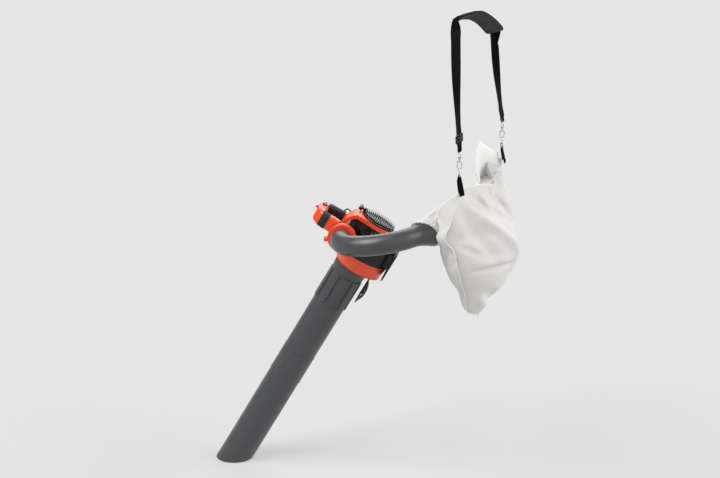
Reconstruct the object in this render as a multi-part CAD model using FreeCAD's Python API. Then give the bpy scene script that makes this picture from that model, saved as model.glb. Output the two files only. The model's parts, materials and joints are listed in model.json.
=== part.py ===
import FreeCAD, Part
import math
import os

# Leaf vacuum mulcher: a hand-held petrol blower in its vacuum set-up, with a two-piece intake tube,
# a fan that chops leaves, an elbow to a fabric bag, and a shoulder strap. Millimetres throughout.
#
# Two frames are used.
#   Row frame: origin at the centre of the hand grip, +X to the right, +Y to the rear, +Z up.
#   Machine frame: origin on the fan axis at the inlet, +z along the fan axis from tube to starter,
#   +x from the handle to the base plate, +y from the outlet to the rear. Outlet air leaves along -y.

# ---- driving dimensions -------------------------------------------------------------------------
TILT = 30.0                      # fan axis away from vertical, towards +X
TURN = 10.0                      # machine turned about its fan axis
GRIP = (-205.0, 15.0, 77.0)      # grip centre in the machine frame
INLET_TO_NOZZLE = 910.0          # fan inlet to the nozzle's rim, along the tube

TUBE_R = 60.0                    # intake tube, outside
TUBE_WALL = 2.5
JOINT_LOW_Z = -520.0             # socket band between the two tubes
JOINT_TOP_Z = -411.0
SOCKET_R = 61.0
SPIGOT_GAP = 0.3
UPPER_TOP_Z = -19.0
RIB_LOW_Z = -188.0
RIB_TOP_Z = -65.0
RIB_COUNT = 9
RIB_PROUD = 4.0

BOWL_LOW_Z = -14.0               # orange inlet half of the fan housing
BOWL_LOW_R = 86.0
BOWL_LOW_X = 19.0
SEAM_Z = 36.0
HOUSING_R = 112.0
HOUSING_WALL = 3.0
HOUSING_TOP_Z = 100.0
BASE_X = 118.0                   # flat base plate
INLET_R = 54.0

OUTLET_X = -80.5                 # outlet duct axis
OUTLET_Z = 76.5
OUTLET_Y = -128.0
SNOUT_Y = -84.0                  # where the snout meets the engine half's duct
DUCT_R = 35.5                    # elbow outside radius and snout bore
ELBOW_WALL = 2.5
ELBOW_STRAIGHT = 38.0
ELBOW_BEND_R = 152.5
ELBOW_BEND = 134.3
ELBOW_LEAN = 40.1                # bend plane, from +x towards +z
ELBOW_TAIL = 86.0
FLARE_R = 50.0

SHAFT_R = 6.0
FIT = 0.05                       # running clearance on a radius
FAN_R = 84.0
FAN_LOW_Z = 40.0
FAN_BLADES = 12
CYL_Z = 122.5                    # cylinder axis height over the inlet
BORE_R = 17.5
STROKE = 29.0
CASE_R = 31.0
CASE_TOP_Z = 144.0
FLYWHEEL_Z = 147.5
FLYWHEEL_R = 46.0
COVER_R = 62.0
COVER_LOW_Z = 147.0
COVER_TOP_Z = 168.0
COWL_TOP_Z = 163.0
COWL_FRONT_Y = -66.0
COWL_REAR_Y = 40.0
COWL_WALL = 3.0

HANDLE_R = 18.0                  # half thickness of the handle loop
HANDLE_LOW_Z = 50.0
HANDLE_TOP_Z = 104.0
HANDLE_ROUND = 12.0

STRAP_WIDTH = 38.0
STRAP_THICK = 2.0


# ---- small tools --------------------------------------------------------------------------------
def vec(x, y, z):
    return FreeCAD.Vector(x, y, z)


X_AXIS = vec(1, 0, 0)
Y_AXIS = vec(0, 1, 0)
Z_AXIS = vec(0, 0, 1)


def polar(radius, degrees, z=0.0):
    angle = math.radians(degrees)
    return vec(radius * math.cos(angle), radius * math.sin(angle), z)


def rod(radius, start, end):
    """Round bar between two points."""
    run = end - start
    return Part.makeCylinder(radius, run.Length, start, run)


def disc(radius, low, high, x=0.0, y=0.0):
    """Round bar along z."""
    return Part.makeCylinder(radius, high - low, vec(x, y, low), Z_AXIS)


def ring(outer, inner, low, high, x=0.0, y=0.0):
    return disc(outer, low, high, x, y).cut(disc(inner, low - 1, high + 1, x, y))


def block(x0, x1, y0, y1, z0, z1, edge=0.0):
    shape = Part.makeBox(x1 - x0, y1 - y0, z1 - z0, vec(x0, y0, z0))
    if edge:
        shape = shape.makeFillet(edge, shape.Edges)
    return shape


def fuse(first, *others):
    return first.multiFuse(list(others)).removeSplitter()


def prism(points, direction):
    """Solid from a flat outline, pushed along a direction."""
    outline = Part.makePolygon(points + [points[0]])
    return Part.Face(outline).extrude(direction)


def rounded_path(points, radius):
    """Wire through the points with each inner corner turned into a tangent arc."""
    edges = []
    start = points[0]
    for before, corner, after in zip(points, points[1:], points[2:]):
        back = (before - corner).normalize()
        ahead = (after - corner).normalize()
        half = back.getAngle(ahead) / 2
        reach = radius / math.tan(half)
        arc_start = corner + back * reach
        arc_end = corner + ahead * reach
        middle = (back + ahead).normalize()
        arc_middle = corner + middle * (radius / math.sin(half) - radius)
        edges.append(Part.LineSegment(start, arc_start).toShape())
        edges.append(Part.Arc(arc_start, arc_middle, arc_end).toShape())
        start = arc_end
    edges.append(Part.LineSegment(start, points[-1]).toShape())
    return Part.Wire(edges)


def pipe(points, bend, radius):
    """Round tube or cable along a rounded path."""
    path = rounded_path(points, bend)
    run = points[1] - points[0]
    circle = Part.Wire(Part.makeCircle(radius, points[0], run))
    return path.makePipeShell([circle], True, False)


def round_loft(stations):
    """Smooth solid through circles; each station is centre, axis, radius."""
    wires = [Part.Wire(Part.makeCircle(radius, centre, axis)) for centre, axis, radius in stations]
    return Part.makeLoft(wires, True, False)


def hexagon(across_flats, low, high):
    corner = across_flats / math.sqrt(3)
    points = [polar(corner, 60 * i, low) for i in range(6)]
    return prism(points, vec(0, 0, high - low))


# ---- intake tubes -------------------------------------------------------------------------------
def make_vac_tube_lower():
    inside = TUBE_R - TUBE_WALL
    nozzle_z = -INLET_TO_NOZZLE
    reach = TUBE_R * math.tan(math.radians(TILT)) + 20
    body = disc(TUBE_R, nozzle_z - reach, JOINT_LOW_Z)
    lip = Part.makeCone(TUBE_R + 1.2, TUBE_R, 70, vec(0, 0, nozzle_z - reach), Z_AXIS)
    band = disc(SOCKET_R, JOINT_LOW_Z, JOINT_TOP_Z)
    bead = ring(SOCKET_R + 0.8, SOCKET_R - 1, JOINT_LOW_Z, JOINT_LOW_Z + 3)
    shape = fuse(body, lip, band, bead)
    shape = shape.cut(disc(inside, nozzle_z - reach - 1, JOINT_LOW_Z + 4))
    shape = shape.cut(disc(inside + 0.8, JOINT_LOW_Z + 3, JOINT_TOP_Z + 1))
    for side in (0, 180):
        shape = shape.cut(bayonet_track(side, inside + 0.8, SOCKET_R - 0.9))
    ground = Part.makeBox(600, 600, 300, vec(-300, -300, -300))
    ground.Placement = level_plane(vec(0, 0, nozzle_z))
    return shape.cut(ground)


def bayonet_track(side, inner, outer):
    """Track for one stud: a short entry from the top and a level run of 28 degrees."""
    low = JOINT_TOP_Z - 36
    level = ring(outer, inner - 2, low, low + 9)
    entry = ring(outer, inner - 2, low, JOINT_TOP_Z + 1)
    start = vec(0, 0, low - 1)
    level_sector = Part.makeCylinder(90, 11, start, Z_AXIS, 40)
    entry_sector = Part.makeCylinder(90, 60, start, Z_AXIS, 12)
    level_sector.rotate(start, Z_AXIS, side - 6)
    entry_sector.rotate(start, Z_AXIS, side + 22)
    return level.common(level_sector).fuse(entry.common(entry_sector))


def level_plane(point):
    """Placement whose +z is vertical in the row frame, written in the machine frame."""
    turn = machine_rotation().inverted()
    return FreeCAD.Placement(point, turn)


def make_vac_tube_upper():
    inside = TUBE_R - TUBE_WALL
    spigot_r = inside + 0.8 - SPIGOT_GAP
    body = disc(TUBE_R, JOINT_TOP_Z + SPIGOT_GAP, UPPER_TOP_Z)
    spigot = disc(spigot_r, JOINT_LOW_Z + 5, JOINT_TOP_Z + 1)
    bead = ring(TUBE_R + 1.6, TUBE_R - 1, JOINT_TOP_Z + SPIGOT_GAP, JOINT_TOP_Z + 3)
    collar = round_loft([
        (vec(0, 0, RIB_TOP_Z + 8), Z_AXIS, TUBE_R + 0.5),
        (vec(0, 0, RIB_TOP_Z + 22), Z_AXIS, TUBE_R + 3),
        (vec(0, 0, UPPER_TOP_Z), Z_AXIS, TUBE_R + 3),
    ])
    shape = fuse(body, spigot, bead, collar)
    studs = []
    for side in (0, 180):
        level = JOINT_TOP_Z - 31.5
        studs.append(rod(3.5, polar(spigot_r - 1.5, side, level), polar(spigot_r + 1.3, side, level)))
    ribs = [grip_rib(i * 360 / RIB_COUNT) for i in range(RIB_COUNT)]
    shape = shape.multiFuse(studs + ribs)
    shape = shape.cut(disc(inside - 2, JOINT_LOW_Z, UPPER_TOP_Z - 24))
    return shape.cut(disc(INLET_R + 3 + SPIGOT_GAP, UPPER_TOP_Z - 26, UPPER_TOP_Z + 1))


def grip_rib(degrees):
    """Raised pad along the tube with a round lower end."""
    half = 15.5
    proud = TUBE_R + RIB_PROUD
    bar = block(TUBE_R - 3, proud, -half, half, RIB_LOW_Z + half, RIB_TOP_Z)
    low_end = Part.makeCylinder(half, RIB_PROUD + 3, vec(TUBE_R - 3, 0, RIB_LOW_Z + half), X_AXIS)
    rib = bar.fuse(low_end).common(disc(proud, RIB_LOW_Z - 1, RIB_TOP_Z + 1))
    rib.rotate(vec(0, 0, 0), Z_AXIS, degrees)
    return rib


# ---- fan housing --------------------------------------------------------------------------------
def make_fan_housing_inlet():
    outer = round_loft_ruled(BOWL_LOW_R, HOUSING_R, BOWL_LOW_Z, SEAM_Z)
    inner = round_loft_ruled(BOWL_LOW_R - HOUSING_WALL, HOUSING_R - HOUSING_WALL,
                             BOWL_LOW_Z + HOUSING_WALL, SEAM_Z)
    spigot_low = BOWL_LOW_Z - 24
    spigot = ring(INLET_R + 3, INLET_R, spigot_low, BOWL_LOW_Z + 2)
    lip = ring(BOWL_LOW_R + 1.5, BOWL_LOW_R - 4, BOWL_LOW_Z - 4, BOWL_LOW_Z + 6, BOWL_LOW_X)
    shape = fuse(outer, lip).cut(inner)
    shape = shape.cut(disc(INLET_R + 1, spigot_low, BOWL_LOW_Z + 10)).fuse(spigot)
    ears = [hinge_ear(y) for y in (GUARD_Y - 22, GUARD_Y + 16)]
    shape = shape.multiFuse(ears)
    return shape.removeSplitter()


def round_loft_ruled(low_r, high_r, low_z, high_z):
    wires = [
        Part.Wire(Part.makeCircle(low_r, vec(BOWL_LOW_X, 0, low_z), Z_AXIS)),
        Part.Wire(Part.makeCircle(high_r, vec(0, 0, high_z), Z_AXIS)),
    ]
    return Part.makeLoft(wires, True, True)


GUARD_X = 84.0                   # intake guard hinge, under the base side of the inlet
GUARD_Y = 34.0
GUARD_Z = -26.0
GUARD_PIN_R = 2.5
GUARD_R = 50.0
GUARD_BARS = 13.0                # pitch of the guard's bars
GUARD_SLOT = 10.2                # open width between two bars


def hinge_ear(y):
    ear = block(GUARD_X - 5, GUARD_X + 5, y, y + 6, GUARD_Z, BOWL_LOW_Z + 1)
    tip = rod(5, vec(GUARD_X, y, GUARD_Z), vec(GUARD_X, y + 6, GUARD_Z))
    hole = rod(GUARD_PIN_R + FIT, vec(GUARD_X, y - 1, GUARD_Z), vec(GUARD_X, y + 7, GUARD_Z))
    return ear.fuse(tip).cut(hole)


def make_intake_guard():
    """Domed grille on a hinge; it stands open beside the tube in the vacuum set-up."""
    low_z = GUARD_Z - 24 - 2 * GUARD_R
    middle_z = GUARD_Z - 24 - GUARD_R
    dome_r = 78.0
    face_x = GUARD_X - 6
    depth = 17.0
    centre = vec(face_x + depth - dome_r, GUARD_Y, middle_z)
    shell = Part.makeSphere(dome_r, centre).cut(Part.makeSphere(dome_r - 2.5, centre))
    shell = shell.common(rod(GUARD_R, vec(face_x, GUARD_Y, middle_z), vec(face_x + 40, GUARD_Y, middle_z)))
    rim = rod(GUARD_R, vec(face_x - 1, GUARD_Y, middle_z), vec(face_x + 4, GUARD_Y, middle_z))
    rim = rim.cut(rod(GUARD_R - 3.5, vec(face_x - 2, GUARD_Y, middle_z), vec(face_x + 5, GUARD_Y, middle_z)))
    slots = []
    for i in range(-3, 4):
        y = GUARD_Y + i * GUARD_BARS
        half = math.sqrt((GUARD_R - 4) ** 2 - (abs(i) * GUARD_BARS + GUARD_SLOT / 2) ** 2)
        slots.append(block(face_x - 5, face_x + 40, y - GUARD_SLOT / 2, y + GUARD_SLOT / 2,
                           middle_z - half, middle_z + half))
    shell = shell.cut(Part.makeCompound(slots))
    bar = block(face_x + 8, face_x + 15, GUARD_Y - GUARD_R + 10, GUARD_Y + GUARD_R - 10,
                middle_z - 3, middle_z + 3)
    bar = bar.common(Part.makeSphere(dome_r - 0.5, centre))
    arm = block(face_x - 1, face_x + 4, GUARD_Y - 13, GUARD_Y + 13, GUARD_Z - 30, GUARD_Z)
    knuckle = rod(5, vec(GUARD_X, GUARD_Y - 15.5, GUARD_Z), vec(GUARD_X, GUARD_Y + 15.5, GUARD_Z))
    pin = rod(GUARD_PIN_R, vec(GUARD_X, GUARD_Y - 22, GUARD_Z), vec(GUARD_X, GUARD_Y + 22, GUARD_Z))
    bridge = block(face_x - 1, GUARD_X + 2, GUARD_Y - 13, GUARD_Y + 13, GUARD_Z - 4, GUARD_Z + 3)
    return fuse(shell, rim, bar, arm, knuckle, pin, bridge)


def duct_solid(radius, start_y, end_y):
    start = vec(OUTLET_X, start_y, OUTLET_Z)
    end = vec(OUTLET_X, end_y, OUTLET_Z)
    return rod(radius, start, end)


def make_fan_housing_engine():
    duct_outer = DUCT_R + 3
    round_end = vec(OUTLET_X, SNOUT_Y + 16, OUTLET_Z)
    outer = disc(HOUSING_R, SEAM_Z, HOUSING_TOP_Z)
    cap = Part.makeSphere(duct_outer, round_end).cut(block(-150, 0, -150, round_end.y, 0, 150))
    bulge = duct_solid(duct_outer, round_end.y, SNOUT_Y).fuse(cap)
    base = block(60, BASE_X, -62, 62, SEAM_Z + 10, HOUSING_TOP_Z)
    plate = block(BASE_X - 4.5, BASE_X, -72, 72, 2, 112)
    ribs = [block(BASE_X - 1, BASE_X + 1.5, y - 2, y + 2, 6, 108) for y in range(-60, 61, 24)]
    shape = outer.multiFuse([bulge, base, plate] + ribs)
    cavity = disc(HOUSING_R - HOUSING_WALL, SEAM_Z - 1, HOUSING_TOP_Z - HOUSING_WALL)
    duct_bore = duct_solid(DUCT_R, round_end.y, OUTLET_Y)
    duct_end = Part.makeSphere(DUCT_R, round_end)
    shape = shape.cut(cavity.multiFuse([duct_bore, duct_end]))
    shape = shape.cut(disc(16, 90, 105))
    for place in screw_places():
        shape = shape.cut(disc(2, 90, 101, place.x, place.y))
    return shape.removeSplitter()


def make_outlet_snout():
    """Orange mouth of the outlet: a duct with two raised rings and the handle's foot."""
    start_y = SNOUT_Y - 0.2
    tube = duct_solid(DUCT_R + 4, start_y, OUTLET_Y)
    mouth = duct_solid(DUCT_R + 15, OUTLET_Y + 7, OUTLET_Y)
    mouth = mouth.makeFillet(3, [mouth.Edges[0], mouth.Edges[2]])
    back_ring = duct_solid(DUCT_R + 13, OUTLET_Y + 28, OUTLET_Y + 20)
    ribs = []
    for i in range(8):
        rib = block(DUCT_R + 1, DUCT_R + 11, -1.5, 1.5, 0, 15)
        rib.rotate(vec(0, 0, 0), Z_AXIS, 45 * i + 10)
        rib.rotate(vec(0, 0, 0), X_AXIS, -90)
        rib.translate(vec(OUTLET_X, OUTLET_Y + 28, OUTLET_Z))
        ribs.append(rib)
    shape = tube.multiFuse([mouth, back_ring] + ribs)
    shape = shape.cut(disc(HOUSING_R + 0.1, SEAM_Z - 10, HOUSING_TOP_Z))
    return shape.cut(duct_solid(DUCT_R, start_y + 1, OUTLET_Y - 1)).removeSplitter()


CLAMP_ANGLE = 216.0              # side of the outlet that carries the clamp knob


def clamp_direction():
    angle = math.radians(CLAMP_ANGLE)
    return vec(math.cos(angle), 0, math.sin(angle))


def make_elbow_clamp():
    low_y = OUTLET_Y + 8
    high_y = OUTLET_Y + 19
    middle = vec(OUTLET_X, (low_y + high_y) / 2, OUTLET_Z)
    band = duct_solid(DUCT_R + 8, high_y, low_y)
    way = clamp_direction()
    lug = rod(5.2, middle + way * (DUCT_R + 5), middle + way * (DUCT_R + 16))
    shape = band.fuse(lug).cut(duct_solid(DUCT_R + 4, high_y + 1, low_y - 1))
    return shape.cut(rod(3 + FIT, middle + way * DUCT_R, middle + way * (DUCT_R + 17))).removeSplitter()


def make_clamp_knob():
    middle = vec(OUTLET_X, OUTLET_Y + 13.5, OUTLET_Z)
    way = clamp_direction()
    stem = rod(3, middle + way * (DUCT_R + 4.5), middle + way * (DUCT_R + 20))
    head = rod(9, middle + way * (DUCT_R + 16.5), middle + way * (DUCT_R + 28))
    cuts = []
    across = way.cross(Y_AXIS)
    for i in range(6):
        angle = math.radians(60 * i)
        offset = Y_AXIS * (11.5 * math.cos(angle)) + across * (11.5 * math.sin(angle))
        low = middle + way * (DUCT_R + 18) + offset
        cuts.append(rod(3.5, low, low + way * 12))
    return head.cut(Part.makeCompound(cuts)).fuse(stem).removeSplitter()


# ---- elbow --------------------------------------------------------------------------------------
def elbow_solid(radius, flare_radius, extra):
    """Outside or bore of the elbow: straight, bend, tail and flare in one sweep."""
    way = vec(0, -1, 0)
    lean = math.radians(ELBOW_LEAN)
    side = vec(math.cos(lean), 0, math.sin(lean))
    start = vec(OUTLET_X, OUTLET_Y + 28, OUTLET_Z)
    bend_start = start + way * ELBOW_STRAIGHT
    centre = bend_start + side * ELBOW_BEND_R
    axis = way.cross(side)
    section = Part.Face(Part.Wire(Part.makeCircle(radius, bend_start, way)))
    bend = section.revolve(centre, axis, ELBOW_BEND)
    turn = FreeCAD.Rotation(axis, ELBOW_BEND)
    bend_end = centre + turn.multVec(bend_start - centre)
    tail_way = turn.multVec(way)
    straight = rod(radius, start - way * extra, bend_start)
    grow = flare_radius - radius
    stations = []
    for part, amount in ((0.0, 0.0), (0.25, 0.06), (0.5, 0.32), (0.75, 0.74), (1.0, 1.0)):
        place = bend_end + tail_way * (ELBOW_TAIL * part)
        stations.append((place, tail_way, radius + grow * amount))
    flare = round_loft(stations)
    rim = rod(flare_radius, bend_end + tail_way * ELBOW_TAIL, bend_end + tail_way * (ELBOW_TAIL + extra))
    return straight, bend, flare, rim, bend_end, tail_way


def make_elbow():
    outer = elbow_solid(DUCT_R, FLARE_R, 0.01)
    inner = elbow_solid(DUCT_R - ELBOW_WALL, FLARE_R - ELBOW_WALL, 5)
    outside = outer[0].multiFuse([outer[1], outer[2]])
    tail = outer[5]
    lip = rod(FLARE_R + 1, outer[4] + tail * (ELBOW_TAIL - 4), outer[4] + tail * ELBOW_TAIL)
    outside = outside.fuse(lip)
    shape = outside
    for tool in inner[:4]:
        shape = shape.cut(tool)
    return shape.removeSplitter()


# ---- fan and crankshaft -------------------------------------------------------------------------
def make_impeller():
    hub_low = FAN_LOW_Z - 3
    back = disc(FAN_R, 84, 87)
    hub = disc(15, hub_low, 92)
    blades = []
    for i in range(FAN_BLADES):
        inner = polar(32, 0)
        middle = polar(60, 14)
        outer = polar(FAN_R, 38)
        curve = Part.Arc(inner, middle, outer).toShape()
        face = curve.extrude(vec(0, 0, 42))
        blade = face.makeOffsetShape(2.4, 0.01, fill=True)
        blade.translate(vec(0, 0, FAN_LOW_Z + 2.5))
        blade.rotate(vec(0, 0, 0), Z_AXIS, i * 360 / FAN_BLADES)
        blades.append(blade)
    cone = Part.makeCone(15, 34, 6, vec(0, 0, 78.5), Z_AXIS)
    shape = back.multiFuse([hub, cone] + blades)
    shape = shape.cut(disc(SHAFT_R, hub_low - 1, 93))
    return shape.removeSplitter()


def make_mulching_blade():
    thick = 3.0
    low = FAN_LOW_Z - 3 - thick
    shape = disc(13, low, low + thick)
    for side in (0, 180):
        points = [polar(13, side - 50, low), polar(50, side - 14, low),
                  polar(51, side + 4, low), polar(13, side + 55, low)]
        shape = shape.fuse(prism(points, vec(0, 0, thick)))
    return shape.cut(disc(SHAFT_R, low - 1, low + 5)).removeSplitter()


def make_fan_nut():
    high = FAN_LOW_Z - 6
    nut = hexagon(19, high - 9, high)
    washer = disc(13, high - 1.5, high)
    return nut.fuse(washer).cut(disc(SHAFT_R, high - 10, high + 1)).removeSplitter()


WEB_R = 23.0
WEB_LOW = (112.0, 118.0)
WEB_HIGH = (127.0, 133.0)


def make_crankshaft():
    """Two half cranks as separate solids; the crankpin between them stays with the connecting rod."""
    lower = disc(SHAFT_R, 27, WEB_LOW[0] + 1).fuse(disc(WEB_R, *WEB_LOW))
    upper = disc(SHAFT_R, WEB_HIGH[1] - 1, 157.5).fuse(disc(WEB_R, *WEB_HIGH))
    return Part.makeCompound([lower.removeSplitter(), upper.removeSplitter()])


def make_flywheel():
    high = FLYWHEEL_Z + 8
    shape = disc(FLYWHEEL_R, FLYWHEEL_Z, FLYWHEEL_Z + 4)
    shape = shape.fuse(ring(FLYWHEEL_R, FLYWHEEL_R - 5, FLYWHEEL_Z, high))
    shape = shape.fuse(disc(13, FLYWHEEL_Z - 2, high))
    vanes = []
    for i in range(12):
        vane = block(18, FLYWHEEL_R - 4, -1, 1, FLYWHEEL_Z + 3, high - 0.5)
        vane.rotate(vec(0, 0, 0), Z_AXIS, 30 * i)
        vanes.append(vane)
    return shape.multiFuse(vanes).cut(disc(SHAFT_R, FLYWHEEL_Z - 3, high + 1)).removeSplitter()


# ---- engine -------------------------------------------------------------------------------------
def make_crankcase():
    body = disc(CASE_R, HOUSING_TOP_Z, CASE_TOP_Z)
    nose = disc(15.5, HOUSING_TOP_Z - 6, HOUSING_TOP_Z + 1)
    deck = block(-34, -15, -24, 24, HOUSING_TOP_Z + 0.5, CASE_TOP_Z - 0.5)
    shape = fuse(body, nose, deck)
    shape = shape.cut(disc(25, 110, 135))
    shape = shape.cut(disc(13, 101, 109))
    shape = shape.cut(disc(13, 136, CASE_TOP_Z + 1))
    shape = shape.cut(disc(9, 90, 140))
    return shape.cut(rod(BORE_R, vec(-15, 0, CYL_Z), vec(-40, 0, CYL_Z))).removeSplitter()


def make_crank_bearings():
    """Two ball bearings: races with their balls, one solid each."""
    bearings = []
    for low in (101.0, 136.0):
        outer_race = ring(13, 11, low, low + 8)
        inner_race = ring(8, SHAFT_R + FIT, low, low + 8)
        cage = ring(11.5, 7.5, low + 3, low + 5)
        balls = [Part.makeSphere(2, polar(9.5, 45 * i, low + 4)) for i in range(8)]
        bearings.append(outer_race.multiFuse([inner_race, cage] + balls).removeSplitter())
    return Part.makeCompound(bearings)


HEAD_X = -80.0


def make_cylinder():
    barrel = rod(BORE_R + 4, vec(-34, 0, CYL_Z), vec(HEAD_X, 0, CYL_Z))
    flange = block(-38, -34, -24, 24, 101, CASE_TOP_Z)
    fins = [block(x, x + 2, -27, 27, 101, 145, 0) for x in range(-46, -80, -7)]
    head = block(HEAD_X - 4, HEAD_X + 4, -24, 24, 103, 143)
    shape = barrel.multiFuse([flange, head] + fins)
    shape = shape.cut(rod(BORE_R, vec(-33, 0, CYL_Z), vec(HEAD_X + 3, 0, CYL_Z)))
    shape = shape.cut(rod(5, plug_point(-10), plug_point(2)))
    return shape.removeSplitter()


def plug_point(distance):
    """Point along the spark plug's axis, from its seat on the head."""
    return vec(HEAD_X - 4 - distance, 0, CYL_Z)


def make_spark_plug():
    thread = rod(5, plug_point(-8), plug_point(1))
    body = rod(7, plug_point(0), plug_point(6))
    insulator = rod(3.5, plug_point(5), plug_point(12))
    return fuse(thread, body, insulator)


def make_plug_boot():
    cap = rod(7, plug_point(6.2), plug_point(17))
    socket = rod(4, plug_point(11) + Y_AXIS * 5, plug_point(11) + Y_AXIS * 10)
    return cap.fuse(socket).cut(rod(3.6, plug_point(6), plug_point(12.2))).removeSplitter()


def make_piston():
    crown_x = HEAD_X + 6
    skirt = rod(BORE_R - FIT, vec(crown_x, 0, CYL_Z), vec(crown_x + 22, 0, CYL_Z))
    hollow = rod(BORE_R - 3, vec(crown_x + 4, 0, CYL_Z), vec(crown_x + 23, 0, CYL_Z))
    shape = skirt.cut(hollow)
    for offset in (1.5, 4.0):
        start = vec(crown_x + offset, 0, CYL_Z)
        groove = rod(BORE_R + 1, start, start + X_AXIS * 1.2)
        groove = groove.cut(rod(BORE_R - 0.6, start - X_AXIS, start + X_AXIS * 3))
        shape = shape.cut(groove)
    pin_bore = rod(4, vec(crown_x + 12, 0, CYL_Z - 20), vec(crown_x + 12, 0, CYL_Z + 20))
    bosses = rod(7, vec(crown_x + 12, 0, CYL_Z - 15), vec(crown_x + 12, 0, CYL_Z + 15))
    gap = block(crown_x + 4.5, crown_x + 23, -8, 8, CYL_Z - 5.5, CYL_Z + 5.5)
    return shape.fuse(bosses.cut(gap)).cut(pin_bore).removeSplitter()


def make_connecting_rod():
    small = vec(HEAD_X + 18, 0, CYL_Z)
    big = vec(-STROKE / 2, 0, CYL_Z)
    half = 3.2
    eyes = []
    for place, outer in ((small, 6.5), (big, 8.5)):
        eyes.append(disc(outer, CYL_Z - half, CYL_Z + half, place.x, place.y))
    beam = block(small.x + 3, big.x - 3, -3.2, 3.2, CYL_Z - 2, CYL_Z + 2)
    shape = beam.multiFuse(eyes)
    shape = shape.cut(disc(4, CYL_Z - 9, CYL_Z + 9, small.x, 0))
    return shape.cut(disc(4.5, CYL_Z - 9, CYL_Z + 9, big.x, 0)).removeSplitter()


def make_piston_pins():
    wrist = disc(4, CYL_Z - 14, CYL_Z + 14, HEAD_X + 18, 0)
    crank = disc(4.5, CYL_Z - 4, CYL_Z + 4, -STROKE / 2, 0)
    return Part.makeCompound([wrist, crank])


def make_muffler():
    can = block(-74, -20, -60, -34, 117, 146, 4)
    stub = rod(8, vec(-60, -34.5, 130), vec(-60, -27.2, 130))
    outlet = rod(5, vec(-14, -47, 130), vec(-24, -47, 130))
    return fuse(can, stub, outlet)


def make_muffler_guard():
    guard = block(-70, 44, -64, -61, 117, 147, 1)
    slots = []
    for i in range(9):
        x = -56 + i * 11
        slots.append(block(x, x + 5, -66, -60, 122, 142))
    return guard.cut(Part.makeCompound(slots))


def make_carburettor():
    insulator = block(-66, -46, 27.2, 37, 112, 134)
    body = block(-68, -38, 37, 66, 109, 136, 2)
    bowl = rod(11, vec(-53, 52, 109.5), vec(-53, 52, 104))
    throat = rod(8, vec(-55, 26, CYL_Z), vec(-55, 70, CYL_Z))
    pocket = disc(9.4, 129, 137, -53, 52)
    shape = fuse(insulator, body, bowl)
    return shape.cut(throat).cut(pocket)


def make_primer_bulb():
    wall = disc(9, 134.5, 138, -53, 52)
    dome = Part.makeSphere(9, vec(-53, 52, 138)).cut(block(-70, -40, 40, 70, 120, 138))
    return fuse(wall, dome)


FILTER_BOX = (-88.0, -24.0, 66.5, 86.0, 105.0, 150.0)


def make_filter_housing():
    x0, x1, y0, y1, z0, z1 = FILTER_BOX
    outer = block(x0, x1, y0, y1, z0, z1, 3)
    inner = block(x0 + 2.5, x1 - 2.5, y0 + 3, y1 + 5, z0 + 2.5, z1 - 2.5)
    throat = rod(8, vec(-55, y0 - 2, CYL_Z), vec(-55, y1, CYL_Z))
    return outer.cut(inner).cut(throat)


def make_filter_element():
    x0, x1, y0, y1, z0, z1 = FILTER_BOX
    shape = block(x0 + 3.5, x1 - 3.5, y0 + 5, y1 - 1.5, z0 + 3.5, z1 - 3.5)
    pleats = []
    for i in range(9):
        x = x0 + 8 + i * 6
        points = [vec(x, y1, z0), vec(x + 4, y1, z0), vec(x + 2, y1 - 9, z0)]
        pleats.append(prism(points, vec(0, 0, 60)))
    return shape.cut(Part.makeCompound(pleats))


def make_filter_cover():
    x0, x1, y0, y1, z0, z1 = FILTER_BOX
    outer = block(x0, x1, y1 + 0.4, y1 + 13, z0, z1, 5)
    inner = block(x0 + 3, x1 - 3, y1 - 1, y1 + 9, z0 + 3, z1 - 3)
    ribs = [block(x, x + 3, y1 + 12, y1 + 14.5, z0 + 8, z1 - 8) for x in range(-80, -34, 9)]
    return outer.cut(inner).multiFuse(ribs).removeSplitter()


def make_choke_lever():
    x = FILTER_BOX[1] + 0.4
    hub = rod(6, vec(x, 76, 118), vec(x + 4, 76, 118))
    arm = block(x, x + 3, 73, 79, 118, 138, 1)
    tab = block(x, x + 10, 72, 80, 134, 140, 1.5)
    return fuse(hub, arm, tab)


def make_ignition_coil():
    legs = block(-12, 12, FLYWHEEL_R + 0.8, 52, 148.5, 154.5)
    legs = legs.cut(block(-5, 5, 40, 50, 140, 160))
    winding = block(-9, 9, 51, 57.5, 147.8, 156, 1)
    return fuse(legs, winding)


def lead_points():
    return [vec(-9, 54, 152), vec(-34, 45, 152), vec(-58, 35, 150), vec(-86, 38, 142),
            vec(-95, 32, CYL_Z), vec(-95, 9.8, CYL_Z)]


def make_spark_lead():
    return pipe(lead_points(), 9, 2.5)


# ---- starter ------------------------------------------------------------------------------------
PULLEY_R = 21.0
ROPE_Y = 14.0
ROPE_Z = 172.0


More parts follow.
